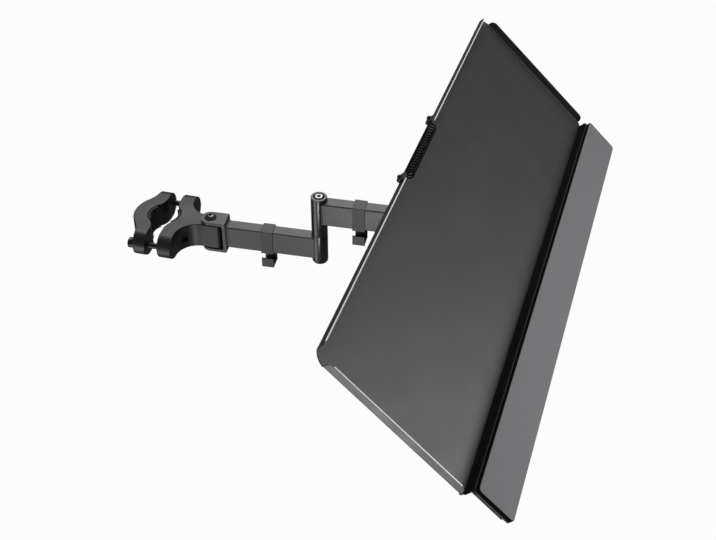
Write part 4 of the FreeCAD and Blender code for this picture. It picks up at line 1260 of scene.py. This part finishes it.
def coil_point(turn):
    """Place and direction on the coil, counted in turns from its near end."""
    angle = 2 * math.pi * turn + math.pi
    rise = math.atan2(coil_pitch, 2 * math.pi * coil_radius)
    along = coil_pitch * (turn - coil_turns / 2)
    place = coil_middle + Vector((coil_radius * math.cos(angle), along, coil_radius * math.sin(angle)))
    tangent = Vector((-math.sin(angle) * math.cos(rise), math.sin(rise), math.cos(angle) * math.cos(rise)))
    return place, tangent


def tail_points(turn, side):
    """The bend at one end of the coil and the straight run into its block, from the coil outwards."""
    place, tangent = coil_point(turn)
    tangent = tangent * side
    axis = Vector((0, side, 0))
    away = (axis - tangent * axis.dot(tangent)).normalized()
    sweep = tangent.angle(axis)
    points = []
    for k in range(1, bend_steps + 1):
        angle = sweep * k / bend_steps
        points.append(place + (tangent * math.sin(angle) + away * (1 - math.cos(angle))) * tail_bend)
    last = points[-1]
    points.append(Vector((last.x, coil_middle.y + side * (tail_reach + tail_grip), last.z)))
    return points


path = list(reversed(tail_points(0, -1)))
path += [coil_point(k / steps_in_turn)[0] for k in range(coil_turns * steps_in_turn + 1)]
path += tail_points(coil_turns, 1)
wire_mesh = bpy.data.meshes.new("keeper_coil")
wire_mesh.from_pydata([point / 1000 for point in path], [(k, k + 1) for k in range(len(path) - 1)], [])
coil = bpy.data.objects.new("keeper_coil", wire_mesh)
bpy.context.scene.collection.objects.link(coil)

wire_tree = bpy.data.node_groups.new("drawn wire along a path", "GeometryNodeTree")
inlet = sockets_of(wire_tree, {"Wire Radius": "Float", "Material": "Material"})
line = add(wire_tree, "GeometryNodeMeshToCurve", {"Mesh": inlet["Geometry"]})
section = add(
    wire_tree, "GeometryNodeCurvePrimitiveCircle", {"Resolution": 12, "Radius": inlet["Wire Radius"]}
)
swept = add(
    wire_tree,
    "GeometryNodeCurveToMesh",
    {"Curve": line.outputs[0], "Profile Curve": section.outputs[0], "Fill Caps": True},
)
real = add(wire_tree, "GeometryNodeRealizeInstances", {"Geometry": swept.outputs[0]})
coloured = add(
    wire_tree, "GeometryNodeSetMaterial", {"Geometry": real.outputs[0], "Material": inlet["Material"]}
)
add(wire_tree, "NodeGroupOutput", {"Geometry": coloured.outputs[0]})
# The drawn wire is blackened and unpolished, so its turns stay dark with only a thin light line each.
wire_coat = steel("black coated spring wire", "#0a0a0b", roughness=0.45, grain_mm=0.4, coat=0.1)
grown(coil, wire_tree, {"Wire Radius": wire_radius / 1000, "Material": wire_coat})
coil.data.transform(tray_frame)
fitted(coil, "tray", "spring_steel", wire_coat, "keeper_spring")

block_plastic = moulded(
    "moulded black block", "#1b1b1c", grain_mm=1.0, grain_depth_mm=0.03, roughness=0.5, ior=1.5
)
finished("near_keeper_anchor", "near_wire_block", "anchor_plastic", block_plastic, 0.35)
finished("far_keeper_anchor", "far_wire_block", "anchor_plastic", block_plastic, 0.35)
screw_past_tail, block_face, block_middle = 7.5, -4.6, 4.8
block_screws = button_screw(
    "block_screws_m3", diameter=3.0, length=6.1, head_diameter=6.0, head_height=3.0, socket=2.0
)
in_rows(block_screws, (2, 2 * (tail_reach + screw_past_tail)), (1, 0), oxide)
block_screws.data.transform(on_tray(block_face, coil_middle.y, block_middle, (-1, 0, 0), (0, 1, 0)))
fitted(block_screws, "tray", "black_steel", oxide, "keeper_screws")
